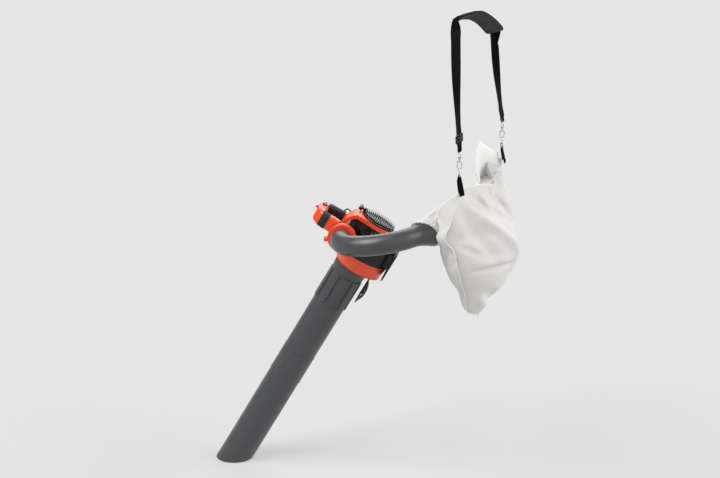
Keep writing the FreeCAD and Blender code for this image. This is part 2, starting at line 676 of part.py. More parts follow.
def make_starter_cover():
    """Round cover with a row of straight cooling fins across its end."""
    wall = ring(COVER_R, COVER_R - 2.5, COVER_LOW_Z, COVER_TOP_Z)
    top = disc(COVER_R, COVER_TOP_Z - 2.5, COVER_TOP_Z)
    post = disc(5, 158.5, COVER_TOP_Z - 1)
    fins = []
    for i in range(16):
        x = -57 + i * 7.6
        half = math.sqrt(COVER_R ** 2 - x ** 2) - 0.5
        fins.append(block(x - 1.6, x + 1.6, -half, half, COVER_TOP_Z - 0.5, COVER_TOP_Z + 8))
    boss = block(-67, -54, ROPE_Y - 8, ROPE_Y + 8, 158, ROPE_Z + 6)
    shape = wall.multiFuse([top, post, boss] + fins)
    shape = shape.cut(rod(2.6, vec(-70, ROPE_Y, ROPE_Z), vec(-50, ROPE_Y, ROPE_Z)))
    shape = shape.cut(pipe(lead_points(), 9, 3.2))
    slots = []
    for i in range(15):
        x = -53.2 + i * 7.6
        half = math.sqrt(COVER_R ** 2 - x ** 2) - 8
        for low, high in ((-half, -10), (10, half)):
            if half > 16:
                slots.append(block(x - 1.7, x + 1.7, low, high, COVER_TOP_Z - 4, COVER_TOP_Z + 0.2))
    return shape.cut(Part.makeCompound(slots)).removeSplitter()


def make_starter_pulley():
    body = disc(PULLEY_R + 3, 159, 165)
    groove = ring(PULLEY_R + 6, PULLEY_R, 159.8, 161.8)
    pocket = ring(PULLEY_R + 0.5, 8, 162.6, 166)
    return body.cut(groove).cut(pocket).cut(disc(5 + FIT, 158, 166))


def make_recoil_spring():
    """Flat spiral of steel strip in the pulley's pocket."""
    turns = 5
    steps = 24
    outer = []
    inner = []
    for i in range(turns * steps + 1):
        radius = 10 + 10 * i / (turns * steps)
        outer.append(polar(radius + 0.4, 360 * i / steps, 162.9))
        inner.append(polar(radius - 0.4, 360 * i / steps, 162.9))
    return prism(outer + inner[::-1], vec(0, 0, 2))


def make_starter_handle():
    x = -80.0
    grip = rod(6.5, vec(x, ROPE_Y - 21, ROPE_Z), vec(x, ROPE_Y + 21, ROPE_Z))
    grip = grip.makeFillet(4, [grip.Edges[0], grip.Edges[2]])
    stem = Part.makeCone(6, 4, 9, vec(x + 3, ROPE_Y, ROPE_Z), X_AXIS)
    return fuse(grip, stem)


# ---- cowl and tank ------------------------------------------------------------------------------
def cowl_outline(inset):
    """Arch of the engine cowl, seen along y, drawn inwards by the inset."""
    slope = inset * 0.45
    points = [vec(-114 + inset, 0, 101), vec(-106 + inset, 0, 128), vec(-90 + inset * 0.85, 0, 152 - slope),
              vec(-76 + inset * 0.5, 0, COWL_TOP_Z - inset), vec(50, 0, COWL_TOP_Z - inset)]
    return points


def arch_solid(inset, start_y, end_y):
    upper = cowl_outline(inset)
    closing = [vec(50, 0, 101)]
    path = rounded_path(upper, 12)
    edges = list(path.Edges)
    edges.append(Part.LineSegment(upper[-1], closing[0]).toShape())
    edges.append(Part.LineSegment(closing[0], upper[0]).toShape())
    face = Part.Face(Part.Wire(edges))
    face.translate(vec(0, start_y, 0))
    return face.extrude(vec(0, end_y - start_y, 0))


def make_engine_cowl():
    skin = arch_solid(0, COWL_FRONT_Y, COWL_REAR_Y)
    skin = skin.cut(arch_solid(COWL_WALL, COWL_FRONT_Y - 1, COWL_REAR_Y + 1))
    band = arch_solid(0, COWL_FRONT_Y, COWL_FRONT_Y + COWL_WALL)
    band = band.cut(arch_solid(14, COWL_FRONT_Y - 1, COWL_FRONT_Y + COWL_WALL + 1))
    shape = skin.fuse(band)
    shape = shape.cut(block(40, 60, -80, 60, 100, COWL_TOP_Z - 14.5))
    shape = shape.cut(disc(COVER_R + 0.6, 140, 180))
    shape = shape.cut(block(-69, -52, ROPE_Y - 10, ROPE_Y + 10, 150, 180))
    return largest(shape.cut(duct_solid(DUCT_R + 4.5, 10, -90)).removeSplitter())


def make_heat_shield():
    """Bright sheet that lines the arch behind the cowl's front band."""
    front = COWL_FRONT_Y + COWL_WALL + 0.3
    shape = arch_solid(10, front, front + 22).cut(arch_solid(11.2, front - 1, front + 23))
    shape = shape.common(block(-114, -40, -80, 0, 114, 160))
    shape = shape.cut(disc(COVER_R + 0.6, 140, 180))
    return shape


TANK_BOX = (44.0, 111.0, -56.0, 56.0, 101.5, 140.0)
CAP_CENTRE = (82.0, 121.0)


def make_fuel_tank():
    x0, x1, y0, y1, z0, z1 = TANK_BOX
    outer = block(x0, x1, y0, y1, z0, z1, 7)
    inner = block(x0 + 2.5, x1 - 2.5, y0 + 2.5, y1 - 2.5, z0 + 2.5, z1 - 2.5, 5)
    x, z = CAP_CENTRE
    neck = rod(13, vec(x, y1 - 4, z), vec(x, y1 + 6, z))
    shape = outer.fuse(neck).cut(inner)
    return shape.cut(rod(10.5, vec(x, y1 - 10, z), vec(x, y1 + 7, z))).removeSplitter()


def make_fuel_cap():
    x, z = CAP_CENTRE
    y = TANK_BOX[3]
    cap = rod(18, vec(x, y + 0.8, z), vec(x, y + 13, z))
    cap = cap.makeFillet(2, [cap.Edges[0]])
    cap = cap.cut(rod(13 + FIT, vec(x, y, z), vec(x, y + 6.2, z)))
    grips = []
    for i in range(10):
        angle = math.radians(36 * i)
        cx = x + 19.5 * math.cos(angle)
        cz = z + 19.5 * math.sin(angle)
        grips.append(rod(3, vec(cx, y, cz), vec(cx, y + 14, cz)))
    return cap.cut(Part.makeCompound(grips))


# ---- handle -------------------------------------------------------------------------------------
def handle_line():
    points = [vec(-96, -44, 0), vec(-193, -42, 0), vec(-196, 72, 0), vec(-84, 92, 0)]
    return rounded_path(points, 34)


def handle_solid(radius, low, high, rounding=0.0):
    outline = handle_line().makeOffset2D(radius, 0, False, False, True)
    face = Part.Face(Part.Wire(Part.sortEdges(outline.Edges)[0]))
    face.translate(vec(0, 0, low))
    shape = face.extrude(vec(0, 0, high - low))
    if rounding:
        rims = [edge for edge in shape.Edges if edge.BoundBox.ZLength < 0.01]
        shape = shape.makeFillet(rounding, rims)
    return shape


def handle_trimmed(shape):
    """Keep the part outside the fan housing, the outlet and the cowl."""
    shape = shape.cut(disc(HOUSING_R + 0.2, 30, HOUSING_TOP_Z + 0.2))
    shape = shape.cut(duct_solid(DUCT_R + 4.2, 30, OUTLET_Y - 5))
    shape = shape.cut(block(-118, 60, COWL_FRONT_Y - 1, COWL_REAR_Y + 30, HOUSING_TOP_Z, 180))
    shape = shape.cut(duct_solid(DUCT_R + 13.2, OUTLET_Y + 50, OUTLET_Y))
    return shape


def trigger_slot():
    return block(-188, -150, -10, 64, 71, 83)


def handle_half(low, high):
    outer = handle_solid(HANDLE_R, HANDLE_LOW_Z, HANDLE_TOP_Z, HANDLE_ROUND)
    inner = handle_solid(HANDLE_R - 3, HANDLE_LOW_Z + 3, HANDLE_TOP_Z - 3, HANDLE_ROUND - 3)
    shape = handle_trimmed(outer.cut(inner)).cut(trigger_slot())
    shape = shape.cut(switch_window())
    shape = shape.common(block(-300, 0, -200, 200, low, high))
    for place in handle_screw_places():
        shape = shape.cut(disc(2, 80, 110, place.x, place.y))
    return largest(shape)


def largest(shape):
    return max(shape.Solids, key=lambda solid: solid.Volume)


def make_handle_shell_left():
    middle = (HANDLE_LOW_Z + HANDLE_TOP_Z) / 2
    return handle_half(middle, HANDLE_TOP_Z + 1)


def make_handle_shell_right():
    middle = (HANDLE_LOW_Z + HANDLE_TOP_Z) / 2
    return handle_half(HANDLE_LOW_Z - 1, middle)


def make_grip_insert():
    """Soft black wraps: a band on the front leg and a sleeve on the rear leg."""
    outer = handle_solid(HANDLE_R + 1.2, HANDLE_LOW_Z - 1.2, HANDLE_TOP_Z + 1.2, HANDLE_ROUND + 1)
    inner = handle_solid(HANDLE_R, HANDLE_LOW_Z, HANDLE_TOP_Z, HANDLE_ROUND)
    wrap = outer.cut(inner)
    front = wrap.common(block(-184, -156, -90, -20, 40, 120))
    rear = wrap.common(block(-182, -118, 40, 140, 40, 120))
    rear = rear.cut(trigger_slot())
    return Part.makeCompound([largest(front), largest(rear)])


TRIGGER_PIVOT = (-190.0, 52.0)


def make_throttle_trigger():
    x, y = TRIGGER_PIVOT
    low = 72.0
    points = [vec(x - 3, y + 4, low), vec(x - 3, y - 50, low), vec(x + 20, y - 52, low),
              vec(x + 25, y - 30, low), vec(x + 21, y - 6, low), vec(x + 6, y + 4, low)]
    blade = prism(points, vec(0, 0, 10))
    return blade.makeFillet(1.5, [edge for edge in blade.Edges if edge.BoundBox.ZLength > 9])


SWITCH_CENTRE = (-212.0, 56.0)


def switch_window():
    x, y = SWITCH_CENTRE
    return block(x - 8, x + 6, y - 9.5, y + 9.5, 70.5, 83.5)


def make_stop_switch():
    x, y = SWITCH_CENTRE
    rocker = rod(9, vec(x + 4, y, 71), vec(x + 4, y, 83))
    rocker = rocker.cut(block(x + 4, x + 20, y - 12, y + 12, 60, 90))
    nub = block(x - 10, x - 2, y - 3, y + 3, 73, 81, 1.5)
    return fuse(rocker, nub)


def make_cruise_lever():
    low = HANDLE_TOP_Z + 0.4
    hub = disc(9, low, low + 5, -196, 30)
    arm = block(-199, -193, 28, 56, low + 1, low + 5, 1)
    return fuse(hub, arm)


def make_throttle_cable():
    points = [vec(-126, 98, HANDLE_TOP_Z + 1.5), vec(-120, 86, 120), vec(-96, 58, 124), vec(-68.5, 52, 124)]
    return pipe(points, 10, 2.5)


# ---- screws -------------------------------------------------------------------------------------
def screw_places():
    return [polar(104, angle, HOUSING_TOP_Z) for angle in (-70, -38, 38, 70, 102, 134)]


def handle_screw_places():
    return [vec(-140, -44, 0), vec(-193, 10, 0), vec(-108, 88, 0)]


def screw(place):
    head = disc(3.6, place.z, place.z + 3, place.x, place.y)
    shank = disc(2, place.z - 12, place.z + 0.5, place.x, place.y)
    socket = hexagon(3, place.z + 1.2, place.z + 4)
    socket.translate(vec(place.x, place.y, 0))
    return head.fuse(shank).cut(socket).removeSplitter()


def make_case_screws():
    places = screw_places()
    for place in handle_screw_places():
        places.append(vec(place.x, place.y, HANDLE_TOP_Z))
    return Part.makeCompound([screw(place) for place in places])


# ---- bag, in the row frame ----------------------------------------------------------------------
NECK = vec(388, -263, 15)            # centre of the elbow's flared rim
NECK_WAY = vec(0.802, 0.593, 0.069)
BAG_CENTRE = vec(565, -150, -20)     # middle of the seam plane
BAG_YAW = -24.5                      # direction the bag's outer panel faces
BAG_HALF = 222.0
BAG_TOP = 202.0
BAG_DROP = 317.0
BAG_WALL = 1.5
BAG_SIDES = 24
FOLD_DEPTH = -38.0                   # slack cloth that stands up behind the far half of the top edge
FOLD_THICK = 4.0
FOLD_OUTLINE = ((30, 172), (55, 222), (85, 288), (100, 295), (131, 288), (172, 238), (186, 172))


def bag_section(centre, yaw, half, top, drop, square):
    """Closed outline in a vertical plane; square draws its upper half from an arch to corners."""
    angle = math.radians(yaw + 90)
    across = vec(math.cos(angle), math.sin(angle), 0)
    points = []
    for i in range(BAG_SIDES):
        turn = 2 * math.pi * i / BAG_SIDES
        wide = math.cos(turn)
        tall = math.sin(turn)
        stretch = max(abs(wide), abs(tall)) ** -square if tall > 0 else 1.0
        rise = tall * (top if tall > 0 else drop)
        points.append(centre + across * (wide * half * stretch) + Z_AXIS * (rise * stretch))
    return Part.makePolygon(points + [points[0]])


def bag_solid(inset, reach):
    """Sack from the neck sleeve to the outer panel."""
    out = bag_out()
    neck_yaw = 36.5
    small = FLARE_R + 5 - inset
    sections = [
        bag_section(NECK - NECK_WAY * (10 + reach), neck_yaw, small, small, small, 0),
        bag_section(NECK + NECK_WAY * 8, neck_yaw, small, small, small, 0),
        bag_section(NECK + NECK_WAY * 36, 24, 88 - inset, 82 - inset, 88 - inset, 0.1),
    ]
    for depth, scale in ((-72, 0.62), (-38, 0.86), (0, 1.0), (42, 0.93), (80, 0.72), (108, 0.36)):
        slide = depth - (reach if depth > 100 else 0)
        sections.append(bag_section(BAG_CENTRE + out * slide, BAG_YAW * min(1, 0.4 + (depth + 72) / 100),
                                    BAG_HALF * scale - inset, BAG_TOP * scale - inset,
                                    BAG_DROP * scale - inset, 1 if depth > -60 else 0.6))
    return Part.makeLoft(sections, True, True)


def bag_across():
    """Level direction along the seam plane, from the near corner to the far one."""
    angle = math.radians(BAG_YAW + 90)
    return vec(math.cos(angle), math.sin(angle), 0)


def bag_out():
    angle = math.radians(BAG_YAW)
    return vec(math.cos(angle), math.sin(angle), 0)


def standing_fold():
    start = BAG_CENTRE + bag_out() * FOLD_DEPTH
    across = bag_across()
    points = [start + across * side + Z_AXIS * rise for side, rise in FOLD_OUTLINE]
    return prism(points, bag_out() * FOLD_THICK)


def make_bag():
    shell = bag_solid(0, 0).cut(bag_solid(BAG_WALL, 2))
    return shell.fuse(standing_fold())


# ---- strap, hooks and pad, in the row frame -----------------------------------------------------
LOOP_INSET = 10.0                    # webbing loops sit this far inside the bag's top corners
RING_RISE = 68.0                     # heights above the bag's top edge
HOOK_RISE = 83.65
STRAP_RISE = 134.0
RING_R = 12.0
RING_WIRE = 1.6
HOOK_R = 7.25
HOOK_WIRE = 1.75
EYE_R = 9.0
FOOT_WAY = vec(-0.3, 0.95, 0)        # width direction of the straps where they leave the hooks
ADJUSTER_RISE = 34.0                 # from the strap's lower end to the slider
NEAR_PAD = vec(470, -100, 692)       # ends of the shoulder pad
PAD_SPAN = 228.0
PAD_YAW = 49.0
PAD_DROP = 62.0                      # the far end lies lower
PAD_RISE = 30.0
PAD_WIDTH = 66.0
PAD_THICK = 10.0


def bag_corner(side):
    """Top corner of the bag: side -1 is the near one, +1 the far one."""
    return BAG_CENTRE + bag_across() * (side * (BAG_HALF - LOOP_INSET)) + Z_AXIS * BAG_TOP


def pad_way():
    angle = math.radians(PAD_YAW)
    return vec(math.cos(angle), math.sin(angle), 0)


def pad_end(side):
    if side < 0:
        return NEAR_PAD
    return NEAR_PAD + pad_way() * PAD_SPAN - Z_AXIS * PAD_DROP


def strap_start(side):
    return bag_corner(side) + Z_AXIS * STRAP_RISE


def strap_way(side):
    return (pad_end(side) - strap_start(side)).normalize()


def strap_across(side):
    """Width direction of a strap leg: as at its foot, square to the leg."""
    way = strap_way(side)
    return (FOOT_WAY - way * FOOT_WAY.dot(way)).normalize()


def flat_band(start, end, across, width, thick):
    """Straight strap between two points, with its width along across."""
    run = end - start
    through = run.cross(across).normalize() * thick
    corner = start - across * (width / 2) - through * 0.5
    wide = across * width
    return prism([corner, corner + wide, corner + wide + through, corner + through], run)


def make_strap_leg(side):
    way = strap_way(side)
    start = strap_start(side)
    band = flat_band(start, pad_end(side) + way * 8, strap_across(side), STRAP_WIDTH, STRAP_THICK)
    band = band.cut(make_shoulder_pad()).cut(make_strap_eyes())
    return largest(band)


def make_strap_adjuster():
    """Slider frame around the near strap, with two windows and a middle bar."""
    way = strap_way(-1)
    across = strap_across(-1)
    low = strap_start(-1) + way * ADJUSTER_RISE
    high = low + way * 26
    outer = flat_band(low, high, across, STRAP_WIDTH + 9, STRAP_THICK + 5)
    inner = flat_band(low - way, high + way, across, STRAP_WIDTH + 1, STRAP_THICK + 1)
    shape = outer.cut(inner)
    through = way.cross(across).normalize() * 5
    for offset in (4.0, 15.5):
        low_edge = low + way * offset + through
        window = flat_band(low_edge, low_edge + way * 6.5, across, STRAP_WIDTH - 2, 7)
        shape = shape.cut(window)
    return shape


def make_shoulder_pad():
    """Padded arch that rests on the shoulder."""
    way = pad_way()
    across = Z_AXIS.cross(way)
    near = pad_end(-1)
    far = pad_end(1)
    points = [near, near + way * 40 + Z_AXIS * PAD_RISE, far - way * 50 + Z_AXIS * (PAD_RISE + PAD_DROP), far]
    path = rounded_path(points, 36)
    top = path.makeOffset2D(PAD_THICK / 2, 2, False, True, True)
    low = path.makeOffset2D(-PAD_THICK / 2, 2, False, True, True)
    closing = []
    for top_point, low_point in zip(wire_ends(top), wire_ends(low)):
        closing.append(Part.LineSegment(top_point, low_point).toShape())
    edges = Part.sortEdges(top.Edges + low.Edges + closing)[0]
    face = Part.Face(Part.Wire(edges))
    face.translate(across * (-PAD_WIDTH / 2))
    return face.extrude(across * PAD_WIDTH)


def wire_ends(wire):
    edges = Part.sortEdges(wire.Edges)[0]
    first = edges[0]
    last = edges[-1]
    ends = [first.valueAt(first.FirstParameter), last.valueAt(last.LastParameter)]
    if first.Orientation == "Reversed":
        ends[0] = first.valueAt(first.LastParameter)
    if last.Orientation == "Reversed":
        ends[1] = last.valueAt(last.FirstParameter)
    return sorted(ends, key=lambda point: point.x)


def at_hook(shape, side):
    """Move a hook part from its own frame, in which the hook's round is at the origin."""
    shape.translate(bag_corner(side) + Z_AXIS * HOOK_RISE)
    return shape


def make_bag_rings():
    rings = []
    for side in (-1, 1):
        centre = bag_corner(side) + Z_AXIS * RING_RISE
        rings.append(Part.makeTorus(RING_R, RING_WIRE, centre, X_AXIS))
    return Part.makeCompound(rings)


def make_bag_loops():
    """Webbing loops sewn to the bag's top corners, folded round the rings."""
    loops = []
    across = bag_across()
    for side in (-1, 1):
        low = bag_corner(side)
        centre = low + Z_AXIS * RING_RISE
        band = flat_band(low, centre - Z_AXIS * (RING_R - 5), across, 18, 4.4)
        loops.append(band.cut(Part.makeTorus(RING_R, RING_WIRE, centre, X_AXIS)))
    return Part.makeCompound(loops)


def make_snap_hook(side):
    round_end = Part.makeTorus(HOOK_R, HOOK_WIRE, vec(0, 0, 0), Y_AXIS)
    round_end = round_end.cut(block(-20, 20, -5, 5, 0, 20))
    back = rod(HOOK_WIRE, vec(-HOOK_R, 0, -0.01), vec(-HOOK_R, 0, 17))
    nose = rod(HOOK_WIRE, vec(HOOK_R, 0, -0.01), vec(HOOK_R, 0, 2.5))
    bridge = block(-9.2, 9.4, -3, 3, 16, 21, 1)
    barrel = disc(4, 20, 29)
    pin = disc(2.5, 28, 32.8)
    return at_hook(fuse(round_end, back, nose, bridge, barrel, pin), side)


def make_hook_gate(side):
    bar = rod(1.5, vec(HOOK_R, 0, 2.9), vec(HOOK_R, 0, 15.2))
    thumb = block(HOOK_R + 0.5, HOOK_R + 4.5, -1.2, 1.2, 9, 12, 0.5)
    return at_hook(fuse(bar, thumb), side)


def make_strap_eyes():
    """Swivel eyes that hold the strap's ends; each turns on its hook's pin."""
    eyes = []
    for side in (-1, 1):
        base = disc(5, 29.4, 36)
        base = base.cut(disc(2.5 + FIT, 29, 34))
        loop = Part.makeTorus(EYE_R, HOOK_WIRE, vec(0, 0, 35 + EYE_R), FOOT_WAY.cross(Z_AXIS))
        eyes.append(at_hook(base.fuse(loop).removeSplitter(), side))
    return Part.makeCompound(eyes)


# ---- placing and writing ------------------------------------------------------------------------
def machine_rotation():
    tilt = FreeCAD.Rotation(Y_AXIS, TILT)
    turn = FreeCAD.Rotation(Z_AXIS, -TURN)
    return tilt.multiply(turn)


def to_row(shape):
    """Move a machine-frame shape into the row frame, whose origin is the grip's centre."""
    rotation = machine_rotation()
    grip = rotation.multVec(vec(*GRIP))
    moved = shape.copy()
    moved.Placement = FreeCAD.Placement(grip * -1, rotation).multiply(moved.Placement)
    return moved


MACHINE_NODES = {
    "vac_tube_lower": make_vac_tube_lower,
    "vac_tube_upper": make_vac_tube_upper,
    "fan_housing_inlet": make_fan_housing_inlet,
    "fan_housing_engine": make_fan_housing_engine,
    "intake_guard": make_intake_guard,
    "outlet_snout": make_outlet_snout,
    "elbow_clamp": make_elbow_clamp,
    "clamp_knob": make_clamp_knob,
    "elbow": make_elbow,
    "impeller": make_impeller,
    "mulching_blade": make_mulching_blade,
    "fan_nut": make_fan_nut,
    "crankshaft": make_crankshaft,
    "flywheel": make_flywheel,
    "crankcase": make_crankcase,
    "crank_bearings": make_crank_bearings,
    "cylinder": make_cylinder,
    "piston": make_piston,
    "connecting_rod": make_connecting_rod,
    "piston_pins": make_piston_pins,
    "spark_plug": make_spark_plug,
    "plug_boot": make_plug_boot,
    "spark_lead": make_spark_lead,
    "ignition_coil": make_ignition_coil,
    "muffler": make_muffler,
    "muffler_guard": make_muffler_guard,
    "carburettor": make_carburettor,
    "primer_bulb": make_primer_bulb,
    "filter_housing": make_filter_housing,
    "filter_element": make_filter_element,
    "filter_cover": make_filter_cover,
    "choke_lever": make_choke_lever,
    "starter_cover": make_starter_cover,
    "starter_pulley": make_starter_pulley,
    "recoil_spring": make_recoil_spring,
    "starter_handle": make_starter_handle,
    "engine_cowl": make_engine_cowl,
    "heat_shield": make_heat_shield,
    "fuel_tank": make_fuel_tank,
    "fuel_cap": make_fuel_cap,
    "handle_shell_left": make_handle_shell_left,
    "handle_shell_right": make_handle_shell_right,
    "grip_insert": make_grip_insert,
    "throttle_trigger": make_throttle_trigger,
    "throttle_cable": make_throttle_cable,
    "stop_switch": make_stop_switch,
    "cruise_lever": make_cruise_lever,
    "case_screws": make_case_screws,
}

ROW_NODES = {
    "bag": make_bag,
    "bag_loops": make_bag_loops,
    "bag_rings": make_bag_rings,
    "strap_near": lambda: make_strap_leg(-1),
    "strap_far": lambda: make_strap_leg(1),
    "strap_eyes": make_strap_eyes,
    "strap_adjuster": make_strap_adjuster,
    "shoulder_pad": make_shoulder_pad,
    "snap_hook_near": lambda: make_snap_hook(-1),
    "snap_hook_far": lambda: make_snap_hook(1),
    "hook_gate_near": lambda: make_hook_gate(-1),
    "hook_gate_far": lambda: make_hook_gate(1),
}


def main():
    os.makedirs("parts", exist_ok=True)
    shapes = {name: to_row(make()) for name, make in MACHINE_NODES.items()}
    shapes.update({name: make() for name, make in ROW_NODES.items()})
    for name, shape in shapes.items():
        shape.exportStep(f"parts/{name}.step")
        print(name, len(shape.Solids), shape.isValid(), round(shape.Volume / 1000, 1))


main()
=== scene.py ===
import json
import math

import bmesh
import bpy
import numpy as np
from mathutils import Matrix, Vector


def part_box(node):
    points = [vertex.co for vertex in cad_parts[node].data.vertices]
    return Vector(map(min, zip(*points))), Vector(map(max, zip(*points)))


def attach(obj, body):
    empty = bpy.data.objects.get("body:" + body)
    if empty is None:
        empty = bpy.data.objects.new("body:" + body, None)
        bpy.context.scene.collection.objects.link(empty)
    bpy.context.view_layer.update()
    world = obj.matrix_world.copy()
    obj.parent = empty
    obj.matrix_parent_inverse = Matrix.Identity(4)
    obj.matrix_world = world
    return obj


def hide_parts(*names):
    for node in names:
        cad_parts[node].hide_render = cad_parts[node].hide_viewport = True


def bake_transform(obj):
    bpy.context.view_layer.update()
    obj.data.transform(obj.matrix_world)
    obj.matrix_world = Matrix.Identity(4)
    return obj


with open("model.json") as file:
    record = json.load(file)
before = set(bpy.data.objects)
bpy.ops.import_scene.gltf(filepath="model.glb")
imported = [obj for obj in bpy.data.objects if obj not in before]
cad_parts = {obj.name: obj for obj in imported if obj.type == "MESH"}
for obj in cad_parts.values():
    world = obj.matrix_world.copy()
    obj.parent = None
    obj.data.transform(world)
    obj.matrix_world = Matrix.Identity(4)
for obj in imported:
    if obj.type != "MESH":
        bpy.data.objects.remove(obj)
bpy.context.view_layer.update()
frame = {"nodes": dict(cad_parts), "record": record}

# Leaf vacuum mulcher. Metres, in the row frame: origin at the hand grip, +X right, +Y away, +Z up.

# ---- places taken from the frame ----
FLOOR_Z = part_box("vac_tube_lower")[0].z
UP = Vector((0, 0, 1))

TILT = math.radians(30)  # fan axis away from vertical
TURN = math.radians(-10)  # machine turned about its fan axis
MACHINE = Matrix.Rotation(TILT, 3, "Y") @ Matrix.Rotation(TURN, 3, "Z")
GRIP = Vector((-0.205, 0.015, 0.077))  # the hand grip's centre in the machine's own frame


def machine_point(x, y, z):
    """Row-frame place of a point given in the machine's own frame, in metres."""
    return MACHINE @ (Vector((x, y, z)) - GRIP)


HOOK_SIDE = 0.0092  # from a snap hook's left edge to its middle
HOOK_FOOT = 0.009  # from its lowest point to the middle of its round
HOOK_RISE = 0.08365  # that middle above the bag's corner
EYE_RISE = 0.053  # the strap eye's upper wire above that middle
BAG_TOP = 0.202  # bag corners above the bag's centre


def hook_middle(node):
    """Centre of a snap hook's round, from the hook's box."""
    low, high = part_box(node)
    return Vector((low.x + HOOK_SIDE, (low.y + high.y) / 2, low.z + HOOK_FOOT))


NEAR_HOOK = hook_middle("snap_hook_near")
FAR_HOOK = hook_middle("snap_hook_far")
NEAR_CORNER = NEAR_HOOK - UP * HOOK_RISE
FAR_CORNER = FAR_HOOK - UP * HOOK_RISE
ACROSS = (FAR_CORNER - NEAR_CORNER).normalized()
OUT = ACROSS.cross(UP)
BAG_MIDDLE = (NEAR_CORNER + FAR_CORNER) / 2 - UP * BAG_TOP
NECK = Vector((0.388, -0.263, 0.015))  # centre of the elbow's rim
NECK_WAY = Vector((0.802, 0.593, 0.069)).normalized()  # and the way out of it


# ---- paint toolkit ----
def colour(red, green, blue):
    """Linear colour from 0-255 display values."""
    parts = []
    for value in (red, green, blue):
        share = value / 255
        parts.append(share / 12.92 if share <= 0.04045 else ((share + 0.055) / 1.055) ** 2.4)
    return (*parts, 1.0)


def shade(base, factor):
    """The colour made lighter or darker."""
    return (*[min(1.0, part * factor) for part in base[:3]], 1.0)


class Paint:
    """One material's node graph, with short calls for the nodes that the finishes share."""

    def __init__(self, name):
        self.name = name
        self.material = bpy.data.materials.new(name)
        self.material.use_nodes = True
        self.tree = self.material.node_tree
        self.shader = self.tree.nodes["Principled BSDF"]
        self.place = self.add("TexCoord", {}, "Object")

    def feed(self, socket, value):
        if isinstance(value, bpy.types.NodeSocket):
            self.tree.links.new(value, socket)
        else:
            socket.default_value = value

    def add(self, kind, inputs, output=0, **settings):
        """Adds a node, feeds its inputs with values or other nodes' sockets, and gives one of its outputs."""
        made = self.tree.nodes.new("ShaderNode" + kind)
        for name, value in settings.items():
            setattr(made, name, value)
        for name, value in inputs.items():
            self.feed(made.inputs[name], value)
        return made.outputs[output]

    def set(self, name, value):
        self.feed(self.shader.inputs[name], value)

    def stretched(self, scale, turn=(0, 0, 0), place=None):
        """Texture place, turned and then scaled on each axis."""
        inputs = {"Vector": place or self.place, "Rotation": turn, "Scale": scale}
        return self.add("Mapping", inputs, vector_type="TEXTURE")

    def noise(self, scale, detail=3.0, rough=0.5, place=None):
        inputs = {"Vector": place or self.place, "Scale": scale, "Detail": detail, "Roughness": rough}
        return self.add("TexNoise", inputs, "Fac")

    def cells(self, scale):
        return self.add("TexVoronoi", {"Vector": self.place, "Scale": scale}, "Distance")

    def wave(self, scale, direction, place):
        return self.add("TexWave", {"Vector": place, "Scale": scale}, "Fac", bands_direction=direction)

    def levels(self, value, low, high, to_low=0.0, to_high=1.0):
        inputs = {"Value": value, "From Min": low, "From Max": high, "To Min": to_low, "To Max": to_high}
        return self.add("MapRange", inputs, clamp=True)

    def calc(self, operation, first, second=0.0):
        return self.add("Math", {0: first, 1: second}, operation=operation)

    def mix(self, share, first, second, strength=1):
        """First colour to second by the share, taken times the strength."""
        if strength != 1:
            share = self.calc("MULTIPLY", share, strength)
        return self.add("Mix", {0: share, 6: first, 7: second}, 2, data_type="RGBA")

    def bump(self, height, depth, normal=None):
        """Surface relief of that depth in metres."""
        inputs = {"Height": height, "Distance": depth, "Strength": 1.0}
        if normal is not None:
            inputs["Normal"] = normal
        return self.add("Bump", inputs)

    def rounded(self, radius):
        """Normal that rounds the solid's sharp edges by that radius."""
        return self.add("Bevel", {"Radius": radius}, samples=4)

    def edges(self, rounded_normal, reach=0.10):
        """1 on an edge that hands and ground rub, 0 on flat and gently curved surfaces."""
        normals = {0: rounded_normal, 1: self.add("NewGeometry", {}, "Normal")}
        facing = self.add("VectorMath", normals, "Value", operation="DOT_PRODUCT")
        return self.levels(facing, 1 - reach, 0.995, 1.0, 0.0)

    def let_through(self, share, base):
        """Thin material: that share of its light comes through from the other side."""
        thin = self.add("BsdfTranslucent", {"Color": base})
        joined = self.add("MixShader", {0: share, 1: self.shader.outputs[0], 2: thin})
        self.feed(self.tree.nodes["Material Output"].inputs["Surface"], joined)

    def cloth_place(self):
        """Place on the cloth as it was cut: across, along, and the side, from the mesh."""
        return self.add("Attribute", {}, "Vector", attribute_name="cloth")


SCRATCH_TURN = (0.35, 0.2, 0.6)  # scratches run this way, turned about each axis
SCRATCH_DULL = 0.12  # and are this much rougher than the plastic round them


def moulded(name, base, rough, grain=0.00002, edge=1.25, edge_radius=0.0008, specular=0.5, mottle=0.06):
    """Injection-moulded plastic: fine moulded grain, faint mottling, rubbed edges and hairline scratches."""
    paint = Paint(name)
    soft = paint.rounded(edge_radius)
    worn = paint.calc("MULTIPLY", paint.edges(soft), paint.levels(paint.noise(90, 4), 0.35, 0.7))
    cloudy = paint.levels(paint.noise(14, 5, 0.6), 0.3, 0.7)
    body = paint.mix(cloudy, shade(base, 1 - mottle), shade(base, 1 + mottle))
    paint.set("Base Color", paint.mix(worn, body, shade(base, edge)))
    hairline = paint.stretched((0.02, 0.6, 0.6), SCRATCH_TURN)
    scratch = paint.levels(paint.noise(9, 6, 0.7, hairline), 0.60, 0.72)
    dull = paint.levels(paint.noise(30, 4), 0.3, 0.7, rough - 0.05, rough + 0.06)
    paint.set("Roughness", paint.calc("ADD", dull, paint.calc("MULTIPLY", scratch, SCRATCH_DULL)))
    grains = paint.bump(paint.noise(2600, 2), grain, soft)
    paint.set("Normal", paint.bump(paint.noise(60, 2), 0.00008, grains))
    paint.set("Specular IOR Level", specular)
    return paint


